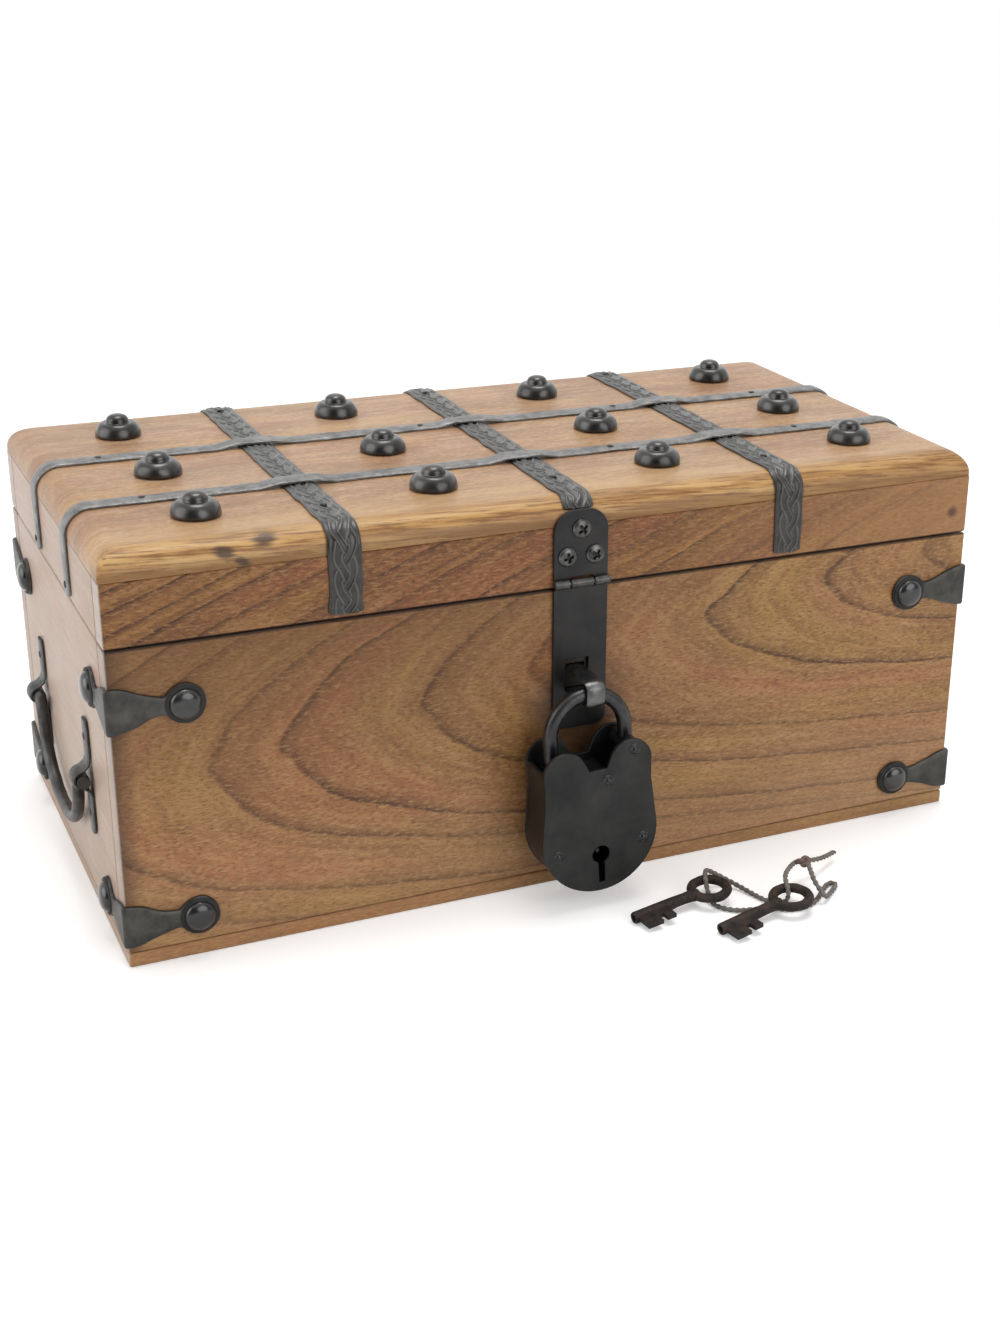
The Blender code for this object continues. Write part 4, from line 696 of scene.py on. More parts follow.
def plait(run, aside):
    """Relief of a three-strand plait: each strand weaves from side to side as a sine, rises and
    dips at twice its pace, and has a raised cord along both of its edges."""
    pitch, swing, half = 30 * MM, 2.9 * MM, 2.1 * MM
    spots = points(run, aside, 0.0)
    run = run + 0.9 * MM * wandering(spots, 9 * MM, 50)
    aside = aside + 0.35 * MM * wandering(spots, 7 * MM, 51)
    under = -9.0
    best = np.zeros(aside.shape)
    top = np.full(aside.shape, under)
    for strand in range(3):
        phase = 2 * math.pi * (run / pitch + strand / 3)
        lean = np.sqrt(1 + (swing * 2 * math.pi / pitch * np.cos(phase)) ** 2)
        off = np.abs(aside - swing * np.sin(phase)) / (half * lean)
        lift = np.where(off < 1, np.sin(2 * phase), under)
        body = 0.12 + 0.88 * np.exp(-((off - 0.66) / 0.19) ** 2)
        best = np.where(lift > top, body, best)
        top = np.maximum(top, lift)
    edge = np.exp(-((np.abs(aside) - 5.6 * MM) / (0.35 * MM)) ** 2)
    return np.maximum(best, 0.7 * edge)


def hammered(size, seed):
    """Relief of hammer marks: a wandering height about a half."""
    def relief(run, aside):
        spots = points(run, aside, 0.0)
        marks = 0.4 * wandering(spots, size, seed) + 0.25 * wandering(spots, size / 2.6, seed + 9)
        return np.clip(0.5 + marks, 0, 1)
    return relief


def arc_points(middle, radius, start, end, steps):
    """Points on an arc, its angles in degrees."""
    angle = np.radians(np.linspace(start, end, steps))
    return np.column_stack([middle[0] + radius * np.cos(angle), middle[1] + radius * np.sin(angle)])


def iron_paint(name, dark, light, rough, mark, relief, rust=0.0, metallic=0.85, coat=0.3, raised=None):
    """Blackened iron under a thin wax: two greys in a cloudy mix, hammer marks, a fine grain and
    some rust; with a raised colour laid where the piece's rise is high: painted highlights on
    the plait's cords, painted shade in the screws' slots."""
    paint = Paint(name, {"Roughness": rough, "Metallic": metallic, "Coat Weight": coat,
                         "Coat Roughness": rough})
    spot = paint.spot()
    cloud = paint.noise(spot, mark * 0.5, 4, 0.6)
    marks = paint.noise(spot, mark, 3, 0.5)
    grain = paint.noise(spot, 2200, 3, 0.7)
    tone = paint.blend(cloud.over(0.35, 0.68), dark, light)
    if raised:
        rise = paint.make("Attribute", {"attribute_type": "GEOMETRY", "attribute_name": "rise"},
                          out="Fac")
        tone = paint.blend(rise.over(0.35, 0.9) * (0.45 + 0.55 * cloud), tone, raised)
    if rust:
        tone = paint.blend(cloud.over(0.6, 0.75) * rust, tone, (0.11, 0.055, 0.03))
    return paint.finish(paint.blend(grain.over(0.6, 0.85) * 0.5, tone, light),
                        roughness=rough - 0.08 + 0.2 * marks, height=marks + 0.35 * grain, depth=relief)


# The cross straps' plait: the pale raised colour on its cords is painted highlight, and the near black
# between them painted shade.
strap_iron = iron_paint("strap_iron", (0.012, 0.011, 0.010), (0.036, 0.034, 0.031), 0.36, 420, 0.2 * MM,
                        coat=0.9, raised=(0.115, 0.110, 0.098))
band_iron = iron_paint("band_iron", (0.08, 0.078, 0.076), (0.22, 0.215, 0.205), 0.42, 420, 0.3 * MM,
                       coat=0.8)
hug, strap_foot = 0.3 * MM, 128.6 * MM
flipped = np.array([-1, 1])
cross_places = {"left": -91.8 * MM, "middle": 1.4 * MM, "right": 92.8 * MM}
long_places = {"front": -34.4 * MM, "rear": 24.5 * MM}


def over_edge(reach, start, steps):
    """Points round the lid's rounded edge at a reach from its middle, from an angle to the top."""
    return arc_points((rounding - reach, top_high - rounding), rounding + hug, start, 90, steps)


for number, (strap_name, strap_x) in enumerate(cross_places.items()):
    front = np.vstack([[-(half_depth + hug), strap_foot], over_edge(half_depth, 180, 15)])
    back = front[::-1] * flipped
    if strap_name == "middle":
        front = over_edge(half_depth, 148, 10)
    grid, rise = strap(np.vstack([front, back]), 12.6 * MM, 0.8 * MM,
                       lambda y, z, aside, x=strap_x: points(x + aside, y, z),
                       plait, 0.55 * MM, 60 + number, 0.4 * MM, tip=0.7 * MM)
    fit(shell("cross_band_" + strap_name, grid, crease=60, rise=rise), strap_iron, "lid", "strap_iron",
        "cross_strap_" + strap_name)

level = top_high + hug
raised = level + 1.4 * MM
steps = [(x + aside * MM, height) for x in cross_places.values()
         for aside, height in ((-15, level), (-7.2, raised), (7.2, raised), (15, level))]
left_part = np.vstack([[-(half_length + hug), strap_foot], over_edge(half_length, 180, 15)])
long_path = np.vstack([left_part, steps, left_part[::-1] * flipped])
for number, (strap_name, strap_y) in enumerate(long_places.items()):
    grid, _ = strap(long_path, 8.4 * MM, 1.05 * MM,
                    lambda x, z, aside, y=strap_y: points(x, y + aside, z),
                    hammered(6 * MM, 70 + number), 0.3 * MM, 80 + number, 0.4 * MM, columns=17)
    fit(shell("long_band_" + strap_name, grid, crease=60), band_iron, "lid", "strap_iron",
        "long_strap_" + strap_name)

# The straps' nails: small flat-headed nails, blackened, hammered home through the bands.
nail_iron = iron_paint("nail_iron", (0.012, 0.012, 0.013), (0.05, 0.05, 0.05), 0.35, 900, 0.15 * MM)
nail_profile = np.array([(1.35, -0.6), (1.4, 0.05), (1.25, 0.3), (0.8, 0.45), (0.2, 0.5)]) * MM
long_nails = {"front": (-151, 41, 128), "rear": (-155, -20, 70, 140)}
cross_nails = {"left": (-68, 78), "middle": (-66, 76), "right": (-70, 80)}
nail_places = [(x * MM, long_places[name], level + 1.15 * MM)
               for name, row in long_nails.items() for x in row]
nail_places += [(cross_places[name], y * MM, level + 1.35 * MM)
                for name, row in cross_nails.items() for y in row]
strap_nails = [turned(nail_profile, place, (0, 0, 1), 14) for place in nail_places]
for side in (-1, 1):
    for nail_y in long_places.values():
        place = (side * (half_length + hug + 1.15 * MM), nail_y, 132.5 * MM)
        strap_nails.append(turned(nail_profile, place, (side, 0, 0), 14, (0, 1, 0)))
fit(shell("strap_nails", *strap_nails), nail_iron, "lid", "strap_iron")

# The lid's studs: forged in one, a low cup with a small dome on it, blackened and polished, and
# each a little uneven from the hammer.
stud_iron = iron_paint("stud_iron", (0.020, 0.019, 0.018), (0.062, 0.058, 0.055), 0.29, 160, 0.05 * MM,
                       rust=0.35, metallic=0.9, coat=0.7)
cup_profile = [(8.9, 0), (9.2, 0.15), (9.3, 0.7), (9.15, 1.6), (8.85, 2.7), (8.35, 3.8), (7.6, 4.8),
               (6.7, 5.4), (5.8, 5.6), (5.2, 5.55)]
cap_profile = [(4.75, 5.5), (4.6, 5.8), (4.55, 6.4), (4.35, 7.1), (3.85, 7.8), (3.1, 8.35), (2.1, 8.7),
               (1.1, 8.85), (0.2, 8.9)]
stud_profile = np.array(cup_profile + cap_profile) * MM
stud_dent = np.array([0.18] * len(cup_profile) + [0.04] * len(cap_profile))[:, None] * MM
stud_rows = {"front": (-58.5, (-136.7, -45, 50.5, 140.5)), "middle": (-2, (-137.3, -45.8, 49.5, 138.8)),
             "back": (59, (-139.5, -46, 48.5, 136.5))}
for row_name, (stud_y, stud_columns) in stud_rows.items():
    for column, stud_x in enumerate(stud_columns, 1):
        name = row_name + "_" + str(column)
        grid = turned(stud_profile, (stud_x * MM, stud_y * MM, level), (0, 0, 1), 48)
        grid = dented(grid, stud_dent, 8 * MM, 100 + column + int(stud_y))
        fit(shell("stud_" + name, grid, crease=70), stud_iron, "lid", "stud_iron", "lid_stud_" + name)


# The corner brackets: iron plates bent round the box's upright corners. Each arm narrows in a
# curve to a neck and ends in a round washer under a polished dome.
def arm_half_height(along):
    """Half the arm's height at a distance from the corner: a cosine from root to neck, then the
    washer's circle."""
    neck_at = arm_reach - arm_washer * math.cos(math.asin(arm_neck / 2 / arm_washer))
    ease = (1 + np.cos(math.pi * np.clip(along / neck_at, 0, 1))) / 2
    circle_half = np.sqrt(np.clip(arm_washer ** 2 - (along - arm_reach) ** 2, 0, None))
    return np.where(along < neck_at, arm_neck / 2 + (arm_root - arm_neck) / 2 * ease, circle_half)


bracket_iron = iron_paint("bracket_iron", (0.036, 0.035, 0.032), (0.080, 0.078, 0.070), 0.42, 330, 0.2 * MM)
# The washers are near black: their own dark iron and painted shade round the domes.
washer_iron_and_shade = iron_paint("washer_iron_and_shade", (0.008, 0.008, 0.008), (0.024, 0.023, 0.021), 0.6, 330, 0.1 * MM,
                         metallic=0.4, coat=0.1)
dome_iron = iron_paint("dome_iron", (0.018, 0.018, 0.018), (0.050, 0.049, 0.047), 0.22, 200, 0.05 * MM,
                       coat=0.9)
washer_profile = np.array([(7.3, -0.4), (7.4, 0.3), (7.0, 0.65), (5.6, 0.7), (0.3, 0.7)]) * MM
bead_profile = np.array([(6.0, 0.2), (6.0, 0.7), (5.75, 1.35), (5.15, 2.05), (4.2, 2.65), (3.0, 3.05),
                         (1.5, 3.27), (0.2, 3.3)]) * MM
arm_root, arm_neck, arm_reach, arm_washer, arm_thick = 17.6 * MM, 7.2 * MM, 27 * MM, 7.7 * MM, 1.2 * MM
arm = (arm_reach + arm_washer) * np.sin(np.linspace(0, math.pi / 2, 46)) ** 0.9
arm[-1] = arm_reach + arm_washer - 0.02 * MM
arm_half = np.maximum(arm_half_height(arm), 0.05 * MM)
section = np.array([(-1, 0.0), (-0.98, 0.75), (-0.9, 1.0), (-0.5, 1.0), (0, 1.0), (0.5, 1.0),
                    (0.9, 1.0), (0.98, 0.75), (1, 0.0)])
bend = arc_points((0, 0), 1, 90, 0, 7)
face = points(half_length - arm[:0:-1], half_depth + hug, 0.0)[:, :2]
end = points(half_length + hug, half_depth - arm[1:], 0.0)[:, :2]
path = np.vstack([face, (half_length, half_depth) + hug * bend, end])
normal = np.vstack([np.tile([0.0, 1.0], (len(face), 1)), bend, np.tile([1.0, 0.0], (len(end), 1))])
tall = np.concatenate([arm_half[:0:-1], np.full(len(bend), arm_half[0]), arm_half[1:]])
bracket_rise = section[:, 0] * tall[:, None]
flat = path[:, None] + normal[:, None] * (section[:, 1] * arm_thick)[:, None]
for depth_name, side_y in (("front", -1), ("back", 1)):
    for side_name, side_x in (("left", -1), ("right", 1)):
        for level_name, middle_z in (("lower", 17.3 * MM), ("upper", 103.2 * MM)):
            name = "_".join((depth_name, side_name, level_name))
            grid = points(side_x * flat[..., 0], side_y * flat[..., 1], middle_z + bracket_rise)
            sway = 0.35 * MM * wandering(grid, 12 * MM, 130 + int(middle_z * 100))
            grid[..., 2] += sway * np.abs(section[:, 0])
            fit(shell("bracket_plate_" + name, grid, crease=50), bracket_iron, "box", "bracket_iron",
                "bracket_" + name)
            seats = (((side_x * (half_length - arm_reach), side_y * (half_depth + 1.4 * MM), middle_z),
                      (0, side_y, 0), 40, (1, 0, 0)),
                     ((side_x * (half_length + 1.4 * MM), side_y * (half_depth - arm_reach), middle_z),
                      (side_x, 0, 0), 40, (0, 1, 0)))
            for kind, profile, paint in (("washers_", washer_profile, washer_iron_and_shade),
                                         ("domes_", bead_profile, dome_iron)):
                fit(shell("bracket_" + kind + name, *(turned(profile, *seat) for seat in seats)),
                    paint, "box", "bracket_iron")

# The end handles: a bail of round bar hangs in two humped straps, each held by two nails.
handle_iron = iron_paint("handle_iron", (0.032, 0.031, 0.030), (0.085, 0.083, 0.080), 0.38, 380, 0.2 * MM)
eye_height, eye_spread, eye_width, eye_thick = 59 * MM, 45 * MM, 8.6 * MM, 1.2 * MM
bail_bar, bail_out, bail_drop = 2.4 * MM, 3.9 * MM, 31.5 * MM
hump = bail_bar + 0.5 * MM
upper_foot = np.array([(hug, 23.5 * MM), (hug, hump * 2.6), (1.2 * MM, hump * 1.75),
                       (bail_out - hump * 0.2, hump * 1.12)])
lower_foot = (upper_foot * np.array([1, -1]))[::-1]
eye_path = np.vstack([upper_foot, arc_points((bail_out, 0), hump, 62, -62, 13), lower_foot])
shoulder = eye_spread - eye_width / 2 - 0.9 * MM
stub = eye_spread + eye_width / 2 + bail_bar
bow = shoulder - bail_bar - 0.5 * MM
swing = np.linspace(0, math.pi, 41)[1:-1]
bail_y = np.concatenate([[stub, shoulder + 2 * MM, shoulder],
                         bow * np.copysign(np.abs(np.cos(swing)) ** 0.8, np.cos(swing)),
                         [-shoulder, -shoulder - 2 * MM, -stub]])
bail_z = np.concatenate([[0, 0, 0], -bail_drop * np.sin(swing) ** 0.9, [0, 0, 0]])
for side_name, side in (("left", -1), ("right", 1)):
    for depth_name, eye_y in (("front", -eye_spread), ("back", eye_spread)):
        name = side_name + "_" + depth_name
        grid, _ = strap(eye_path, eye_width, eye_thick,
                        lambda u, v, aside, side=side, eye_y=eye_y: points(
                            side * (half_length + u), eye_y + aside, eye_height + v),
                        hammered(7 * MM, 160), 0.15 * MM, 170, 0.1 * MM, columns=15, tip=4.3 * MM)
        fit(shell("handle_eye_" + name, grid, crease=60), handle_iron, "box", "handle_iron",
            "_".join(("handle", side_name, "eye", depth_name)))
        nail_x = side * (half_length + hug + eye_thick)
        nails = [turned(nail_profile * 1.1, (nail_x, eye_y, eye_height + rise), (side, 0, 0), 16, (0, 1, 0))
                 for rise in (16.5 * MM, -15.5 * MM)]
        fit(shell("handle_nails_" + name, *nails), nail_iron, "box", "handle_iron")
    bail_line = smooth_line(points(side * (half_length + bail_out), bail_y, eye_height + bail_z), 1.0 * MM)
    grid = dented(tube(bail_line, bail_bar, 24, up=(1, 0, 0)), 0.1 * MM, 9 * MM, 180)
    fit(shell("bail_" + side_name, grid), handle_iron, "handle_" + side_name, "handle_iron",
        "handle_" + side_name + "_bail")


# The hasp: a leaf with a round top, screwed to the lid, and a long slotted flap, both of thin
# black sheet iron rolled round a pin.
def on_hasp(u, v, w):
    """Places on the hasp: u right and v up from the pin, and w out from the back of its leaf."""
    return points(hasp_x + u, plate_back - w, hasp_z + v)


def rolled(start, end):
    """Rings of one knuckle along X with eased ends."""
    ease = 0.25 * MM
    profile = [(hasp_barrel * 0.5, start), (hasp_barrel - ease, start), (hasp_barrel, start + ease),
               (hasp_barrel, end - ease), (hasp_barrel - ease, end), (hasp_barrel * 0.5, end)]
    return turned(profile, (hasp_x, hasp_y, hasp_z), (1, 0, 0), 24, (0, 1, 0))


hasp_iron = iron_paint("hasp_iron", (0.017, 0.016, 0.016), (0.032, 0.030, 0.029), 0.42, 160, 0.08 * MM)
roll_iron = iron_paint("roll_iron", (0.030, 0.029, 0.028), (0.095, 0.092, 0.088), 0.3, 500, 0.1 * MM)
hasp_half, hasp_thick, hasp_barrel, hasp_edge = 11.3 * MM, 1.2 * MM, 1.9 * MM, 0.22 * MM
hasp_x, hasp_y, hasp_z, plate_back = 1.4 * MM, -94.2 * MM, 128.5 * MM, -92.3 * MM
leaf_height, leaf_round = 29 * MM, 8.8 * MM
near, past, play = 1.35 * MM, 2.3 * MM, 0.3 * MM
knuckle = [2 * hasp_half * (share - 0.5) for share in (0, 0.28, 0.72, 1)]
leaf_outline = np.vstack([
    [(knuckle[0], near), (knuckle[1], near), (knuckle[1], past), (knuckle[2], past),
     (knuckle[2], near), (knuckle[3], near)],
    arc_points((hasp_half - leaf_round, leaf_height - leaf_round), leaf_round, 0, 90, 14),
    arc_points((-hasp_half + leaf_round, leaf_height - leaf_round), leaf_round, 90, 180, 14)])
fit(shell("hasp_plate", stamped(leaf_outline, on_hasp, 0.0, hasp_thick, hasp_edge)), hasp_iron,
    "lid", "hasp_iron", "hasp_leaf")
leaf_rolls = rolled(knuckle[0], knuckle[1] - play), rolled(knuckle[2] + play, knuckle[3])
fit(shell("hasp_plate_knuckles", *leaf_rolls), roll_iron, "lid", "hasp_iron", "hasp_leaf")


def pierced(outline, hole, centre, place, low, high, edge):
    """Rings of a plate with a hole: both outlines are read at the same angles about a centre
    that sees all of each, and the surface runs from the hole out, round the rim and back."""
    def polar(flat):
        offset = np.asarray(flat) - centre
        turn = np.arctan2(offset[:, 1], offset[:, 0])
        order = np.argsort(turn)
        return turn[order], offset[order]

    def edge_at(known, offset):
        number = (np.searchsorted(known, angle + 1e-7) - 1) % len(known)
        start, run = offset[number], (np.roll(offset, -1, axis=0) - offset)[number]
        reach = ((start[:, 0] * run[:, 1] - start[:, 1] * run[:, 0])
                 / (way[:, 0] * run[:, 1] - way[:, 1] * run[:, 0]))
        return way * reach[:, None]

    outer, inner = polar(outline), polar(hole)
    even = np.linspace(-math.pi, math.pi, 240, endpoint=False)
    angle = np.unique(np.round(np.concatenate([outer[0], inner[0], even]), 5))
    way = np.column_stack([np.cos(angle), np.sin(angle)])
    rim, gap = edge_at(*outer), edge_at(*inner)
    step = math.copysign(edge, high - low)
    rings = [(gap, 0, low), (gap, 0, high - step), (gap, edge, high), (gap, 2 * edge, high),
             (rim, -2 * edge, high), (rim, -edge, high), (rim, -0.3 * edge, high - 0.3 * step),
             (rim, 0, high - step), (rim, 0, low)]
    return np.stack([place(*(centre + base + way * shift).T, level) for base, shift, level in rings])


flap_length, flap_round, flap_back = 60.5 * MM, 4.5 * MM, 0.1 * MM
slot_half, slot_low, slot_high = 5.0 * MM, -47.75 * MM, -31.35 * MM
flap_outline = np.vstack([
    [(knuckle[3], -past), (knuckle[2], -past), (knuckle[2], -near), (knuckle[1], -near),
     (knuckle[1], -past), (knuckle[0], -past)],
    arc_points((-hasp_half + flap_round, flap_round - flap_length), flap_round, 180, 270, 10),
    arc_points((hasp_half - flap_round, flap_round - flap_length), flap_round, 270, 360, 10)])
slot_left, slot_right = -slot_half - hasp_x, slot_half - hasp_x
slot_outline = [(slot_right, slot_high), (slot_left, slot_high),
                (slot_left, slot_low), (slot_right, slot_low)]
slot_middle = np.array([-hasp_x, (slot_low + slot_high) / 2])
flap = pierced(flap_outline, slot_outline, slot_middle, on_hasp, flap_back, flap_back + hasp_thick,
               hasp_edge)
fit(shell("hasp_flap_plate", flap, closed=False), hasp_iron, "hasp_flap", "hasp_iron", "hasp_flap")
fit(shell("hasp_flap_knuckle", rolled(knuckle[1] + play, knuckle[2] - play)), roll_iron, "hasp_flap",
    "hasp_iron", "hasp_flap")

# The hasp's pin: bright wire with a small head, through the knuckles.
pin_steel = iron_paint("pin_steel", (0.06, 0.06, 0.06), (0.2, 0.2, 0.2), 0.3, 300, 0.05 * MM, metallic=1.0)
pin_profile = np.array([(0.3, -11.5), (0.8, -11.4), (0.9, -11.2), (0.9, 11.5), (1.3, 11.6), (1.35, 11.9),
                        (1.0, 12.2), (0.2, 12.3)]) * MM
pin = turned(pin_profile, (hasp_x, hasp_y, hasp_z), (1, 0, 0), 20, (0, 1, 0))
fit(shell("hasp_pin_wire", pin), pin_steel, "lid", "screw_steel", "hasp_pin")


# The hasp's screws: round-headed steel wood screws with a cross slot, darkened with age.
def cross_slot(x, y):
    """Depth of a cross slot at a place on the head: full within a thin plus that narrows out."""
    arms = [np.clip((0.62 * MM - np.abs(across)) / (0.25 * MM), 0, 1)
            * np.clip((2.1 * MM - np.abs(along)) / (0.3 * MM), 0, 1) for across, along in ((x, y), (y, x))]
    return np.maximum(*arms)


# The screws' slots take the near black raised colour where their rise is high: painted shade in the slots.
screw_steel = iron_paint("screw_steel", (0.045, 0.044, 0.043), (0.15, 0.147, 0.142), 0.3, 700, 0.1 * MM,
                         metallic=1.0, raised=(0.001, 0.001, 0.001))
head_curve = 3.8 * np.cos(np.linspace(0.1, math.pi / 2 - 0.02, 30)) ** 0.9
head_radius = np.concatenate([[3.3, 3.75, 3.8], head_curve])[:, None] * MM
u, v = head_radius * np.cos(circle(72)), head_radius * np.sin(circle(72))
dome = 1.65 * MM * np.sqrt(np.clip(1 - (head_radius / (3.95 * MM)) ** 2, 0, 1))
screw_places = ((0, 21.4, 38), (-5.8, 10.6, 12), (5.8, 10.6, 55))
for number, (screw_x, screw_z, screw_turn) in enumerate(screw_places, 1):
    turn = math.radians(screw_turn)
    slot = cross_slot(u * math.cos(turn) + v * math.sin(turn), v * math.cos(turn) - u * math.sin(turn))
    out = dome - 0.95 * MM * slot
    out[:2] = np.array([[0.0], [0.02 * MM]])
    grid = on_hasp(screw_x * MM + u, screw_z * MM + v, hasp_thick + 0.1 * MM + out)
    fit(shell("hasp_screw_head_" + str(number), grid, crease=35, rise=1.6 * slot), screw_steel, "lid",
        "screw_steel", "hasp_screw_" + str(number))

# The staple: a strip of brighter iron through the flap's slot, its legs driven through the front
# board and clinched inside.
staple_iron = iron_paint("staple_iron", (0.06, 0.06, 0.06), (0.16, 0.16, 0.157), 0.34, 500, 0.15 * MM,
                         metallic=1.0)
staple_low, staple_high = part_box("staple")
staple_thick, staple_half, staple_clinch, staple_bend = 1.3 * MM, 4.3 * MM, 7 * MM, 2.58 * MM
staple_x, staple_z = -0.9 * MM, (staple_low[2] + staple_high[2]) / 2
staple_in = -(board + hug) - staple_thick
staple_out = -half_depth - staple_low[1] - staple_thick - staple_bend
staple_path = np.vstack([
    [(staple_in, staple_half + staple_clinch), (staple_in, staple_half)],
    arc_points((staple_out, staple_half - staple_bend), staple_bend, 90, 0, 8),
    arc_points((staple_out, -staple_half + staple_bend), staple_bend, 0, -90, 8),
    [(staple_in, -staple_half), (staple_in, -staple_half - staple_clinch)]])
staple, _ = strap(staple_path, 7.4 * MM, 1.2 * MM,
                  lambda u, v, aside: points(staple_x + aside, -half_depth - u, staple_z + v),
                  hammered(5 * MM, 190), 0.08 * MM, 191, 0.05 * MM, columns=15, tip=1.0 * MM)
fit(shell("staple_band", staple, crease=60), staple_iron, "box", "staple_iron", "staple")


# The padlock: two stamped iron plates riveted over a side wall, a round shackle that turns on a
# pivot in the right shoulder, and a keyhole with a post for the keys' barrels.
def in_lock(u, v, w):
    """Places on the padlock: u right, v up and w back, turned a little about its own depth."""
    return lock_middle + points(u * math.cos(lock_roll) - v * math.sin(lock_roll), w,
                                u * math.sin(lock_roll) + v * math.cos(lock_roll))


def lock_side(inset):
    """Right half of the lock's outline from the notch to the foot."""
    return np.vstack([
        [(3.6 * MM + inset, -12.9 * MM - inset)],
        arc_points(hump_middle, hump_radius - inset, 150, -8, 24),
        [(hump_middle[0] + hump_radius * 0.955 - inset, hump_middle[1] - hump_radius)],
        arc_points((0, -41 * MM), body_radius - inset, 10, -90, 36)])


def both_sides(right):
    """A half outline with its mirror image added."""
    return np.vstack([right, (right[:-1] * flipped)[::-1]])


lock_iron = iron_paint("lock_iron", (0.013, 0.013, 0.013), (0.034, 0.033, 0.032), 0.44, 130, 0.1 * MM)
bar_iron = iron_paint("shackle_iron", (0.025, 0.025, 0.025), (0.06, 0.06, 0.06), 0.3, 300, 0.12 * MM)
rivet_iron = iron_paint("rivet_iron", (0.006, 0.006, 0.006), (0.020, 0.020, 0.020), 0.25, 500, 0.05 * MM,
                        metallic=0.6, coat=0.4)
lock_roll, lock_middle = math.radians(3.0), np.array([-2.3, -109.5, 72.9]) * MM
half_lock, lock_plate, lock_edge = 9.3 * MM, 1.4 * MM, 0.3 * MM
hump_middle, hump_radius, body_radius = (14.0 * MM, -11.7 * MM), 8.9 * MM, 24.5 * MM
arch_radius, shackle_bar = 15.7 * MM, 2.9 * MM
pivot, post = (arch_radius, -7.5 * MM), (0, -49.6 * MM)
lock_outline = both_sides(lock_side(0))[::-1]
keyhole = np.vstack([arc_points(post, 3.7 * MM, -69, 249, 30),
                     [(-1.3 * MM, -62.0 * MM), (1.3 * MM, -62.0 * MM)]])
front_plate = pierced(lock_outline, keyhole, np.array(post), in_lock, -half_lock + lock_plate, -half_lock,
                      lock_edge)
fit(shell("padlock_front", front_plate, closed=False, crease=35), lock_iron, "padlock_case",
    "padlock_iron", "padlock_front_plate")

forwards = in_lock(0, 0, -1.0) - in_lock(0, 0, 0)
rivet_profile = np.array([(2.6, -0.3), (2.65, 0.1), (2.3, 0.25), (1.75, 0.3), (1.6, 0.6), (1.2, 1.0),
                          (0.6, 1.25), (0.1, 1.3)]) * MM
rivet_places = ((4 * MM, -18.3 * MM), (18.3 * MM, -46.3 * MM), (-18.3 * MM, -46.3 * MM), pivot)
rivet_heads, rivet_tails = ([turned(rivet_profile, in_lock(u, v, side * half_lock), -side * forwards, steps)
                             for u, v in rivet_places] for side, steps in ((-1, 28), (1, 20)))
post_profile = np.array([(0.2, -6.0), (0.95, -5.7), (0.95, 8.8)]) * MM
key_post = turned(post_profile, in_lock(*post, 0), -forwards, 16)
back_plate = stamped(lock_outline, in_lock, half_lock - lock_plate, half_lock, lock_edge)
fit(shell("padlock_back", back_plate, *rivet_tails, key_post), lock_iron, "padlock_case",
    "padlock_iron", "padlock_back_plate")
fit(shell("padlock_rivets", *rivet_heads), rivet_iron, "padlock_case", "padlock_iron")

wall_half, wall_thick = half_lock - lock_plate - 0.3 * MM, 1.4 * MM
wall_line = lock_side(0.3 * MM)
u, v = wall_line.T
wall_line = both_sides(wall_line[(v < -10.4 * MM) & ((u > hump_middle[0]) | (v < -20.6 * MM))])
wall_way = unit(np.gradient(wall_line, axis=0))
wall_in = np.column_stack([wall_way[:, 1], -wall_way[:, 0]]) * wall_thick
wall_corners = ((0, -1), (0, 0), (0, 1), (1, 1), (1, 0), (1, -1))
wall = np.stack([in_lock(*(wall_line + wall_in * inset).T, side * wall_half)
                 for inset, side in wall_corners], axis=1)
fit(shell("padlock_wall", wall, crease=50), lock_iron, "padlock_case", "padlock_iron", "padlock_rim")

arch = np.vstack([[pivot], arc_points((0, 0), arch_radius, 0, 180, 40),
                  [(-arch_radius, -13 * MM), (-arch_radius, -21 * MM)]])
bar = dented(tube(in_lock(*arch.T, 0.0), shackle_bar, 32, up=(0, 1, 0)), 0.06 * MM, 12 * MM, 200)
eye_profile = np.array([(1.5, -7.5), (3.4, -7.55), (3.6, -7.4), (3.6, 7.4), (3.4, 7.55), (1.5, 7.5)]) * MM
pivot_eye = turned(eye_profile, in_lock(*pivot, 0.0), forwards, 32)
fit(shell("padlock_bar", bar, pivot_eye), bar_iron, "padlock_shackle", "padlock_iron", "padlock_shackle")
dress(bar_iron, "padlock_bolt")

# The hinges: two black butt hinges on the back, screwed to box and lid.
hinge_iron = iron_paint("hinge_iron", (0.035, 0.035, 0.036), (0.09, 0.09, 0.09), 0.4, 300, 0.15 * MM)
dress(hinge_iron, "hinge_left_box_leaf", "hinge_left_lid_leaf", "hinge_right_box_leaf",
      "hinge_right_lid_leaf")

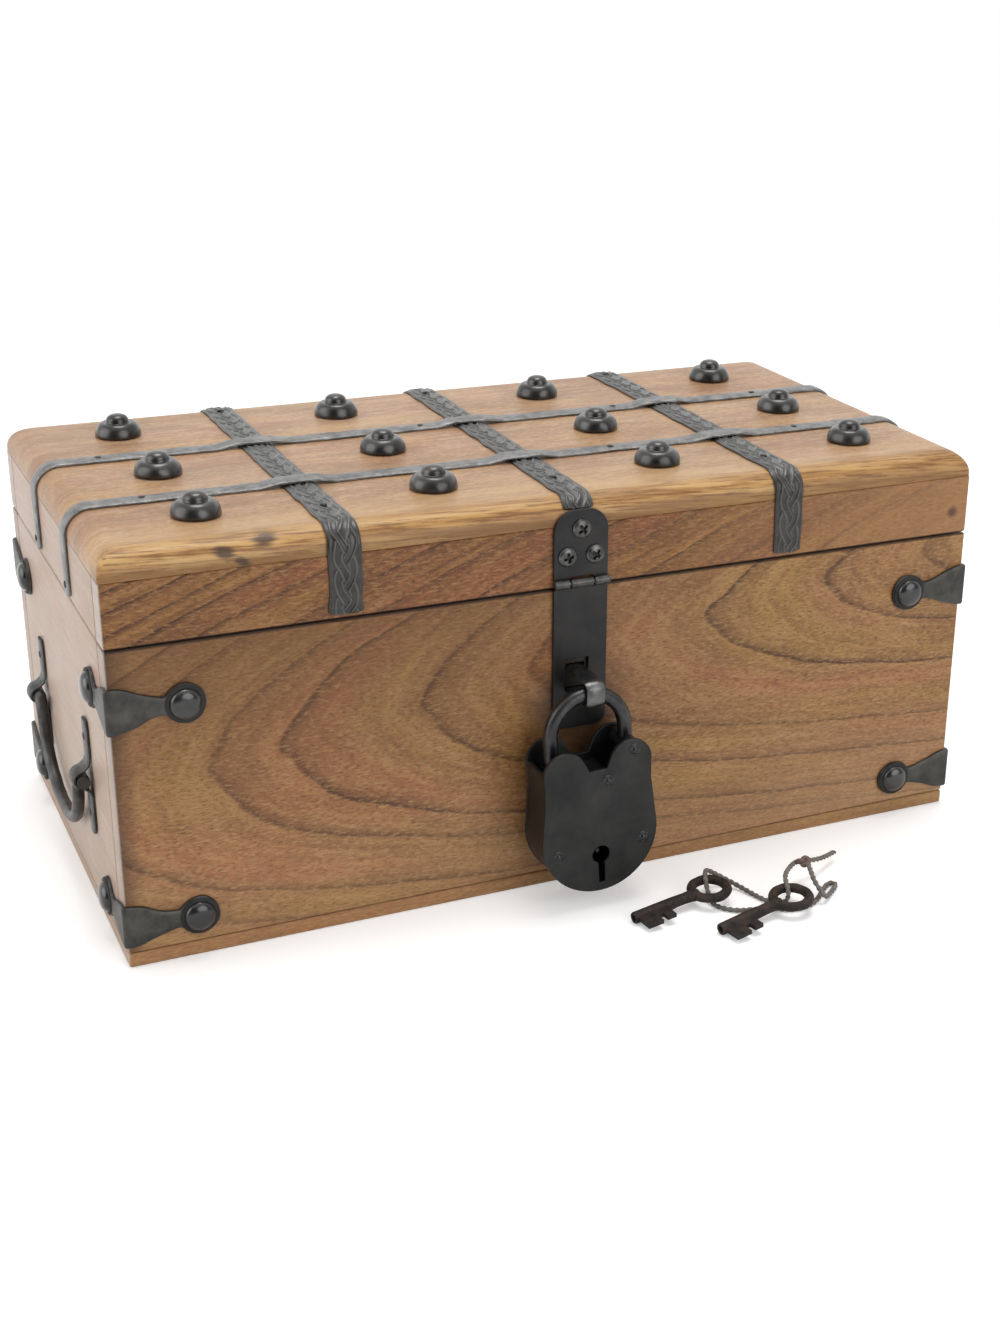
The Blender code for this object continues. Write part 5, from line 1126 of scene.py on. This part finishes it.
# The studio: a white floor that runs into a white room, soft light from above and from the
# left, and a narrower lamp from the front right that throws the padlock's shadow.
floor_half, white = 6, (1.0, 1.0, 1.0)
floor_corners = [(x * floor_half, y * floor_half, 0) for x, y in ((-1, -1), (1, -1), (1, 1), (-1, 1))]
floor_mesh = bpy.data.meshes.new("floor")
floor_mesh.from_pydata(floor_corners, [], [(0, 1, 2, 3)])
floor = bpy.data.objects.new("floor", floor_mesh)
bpy.context.scene.collection.objects.link(floor)
floor_paint = Paint("white_floor", {"Roughness": 0.9, "Base Color": (0.88, 0.88, 0.88),
                                    "Specular IOR Level": 0.1})
floor_x, floor_y, _ = floor_paint.parts(floor_paint.spot())
floor_far = floor_x.far(floor_y).over(0.45, 1.1)
floor_lit = Value(floor_paint, floor_paint.shader.outputs[0])
floor_lift, floor_white = (floor_paint.make("Emission", sockets={"Color": white, "Strength": strength})
                           for strength in (0.28, 1.0))
floor_near = floor_paint.make("AddShader", sockets={0: floor_lit, 1: floor_lift})
floor_seen = floor_paint.make("MixShader", sockets={0: floor_far, 1: floor_near, 2: floor_white})
floor_ray = floor_paint.make("LightPath", out="Is Camera Ray")
floor_mix = floor_paint.make("MixShader", sockets={0: floor_ray, 1: floor_lit, 2: floor_seen})
floor_paint.feed(floor_paint.tree.nodes["Material Output"].inputs["Surface"], floor_mix)
floor_mesh.materials.append(floor_paint.material)


def distant_lamp(name, towards, spread, strength):
    """A far lamp seen in a direction, so many degrees wide: a strength of 1 on a square-on white
    face renders as white."""
    data = bpy.data.lights.new(name, "SUN")
    data.angle, data.energy = math.radians(spread), strength * math.pi
    made = bpy.data.objects.new(name, data)
    back = unit(np.array(towards, float))
    right = unit(np.cross((0, 0, 1.0), back))
    made.matrix_world = facing((right, np.cross(back, right), back))
    bpy.context.scene.collection.objects.link(made)


distant_lamp("upper_lamp", (0.1, 0.15, 1.0), 30, 0.45)
distant_lamp("front_lamp", (0.35, -1.0, 0.45), 45, 0.38)
distant_lamp("left_lamp", (-1.0, 0.1, 0.4), 50, 0.35)

# The room is white to the camera. What polished and dull surfaces get from it is darker low down
# in front, as under a photographer's table.
room_world = bpy.data.worlds.new("white_room")
bpy.context.scene.world = room_world
room_world.use_nodes = True
room = Nodes(room_world.node_tree)
_, room_y, room_z = room.parts(room.make("TexCoord", out="Generated"))
seen, glossy, through = (room.make("LightPath", out=kind) for kind in
                         ("Is Camera Ray", "Is Glossy Ray", "Is Transmission Ray"))
polished = glossy.above(through)
in_front = room_y.over(-0.2, -0.6)
dull_light = 0.6 * (1 - 0.75 * (in_front * room_z.over(1.9 / 3, 0.3)))
gloss_light = 1 - 0.88 * (in_front * room_z.over(0.85, 0.65))
room_light = gloss_light * polished + dull_light * (1 - polished)
background = room.tree.nodes["Background"]
room.feed(background.inputs["Strength"], seen.above(room_light))
room.feed(background.inputs["Color"], white)
bpy.context.scene.view_settings.view_transform = "Standard"
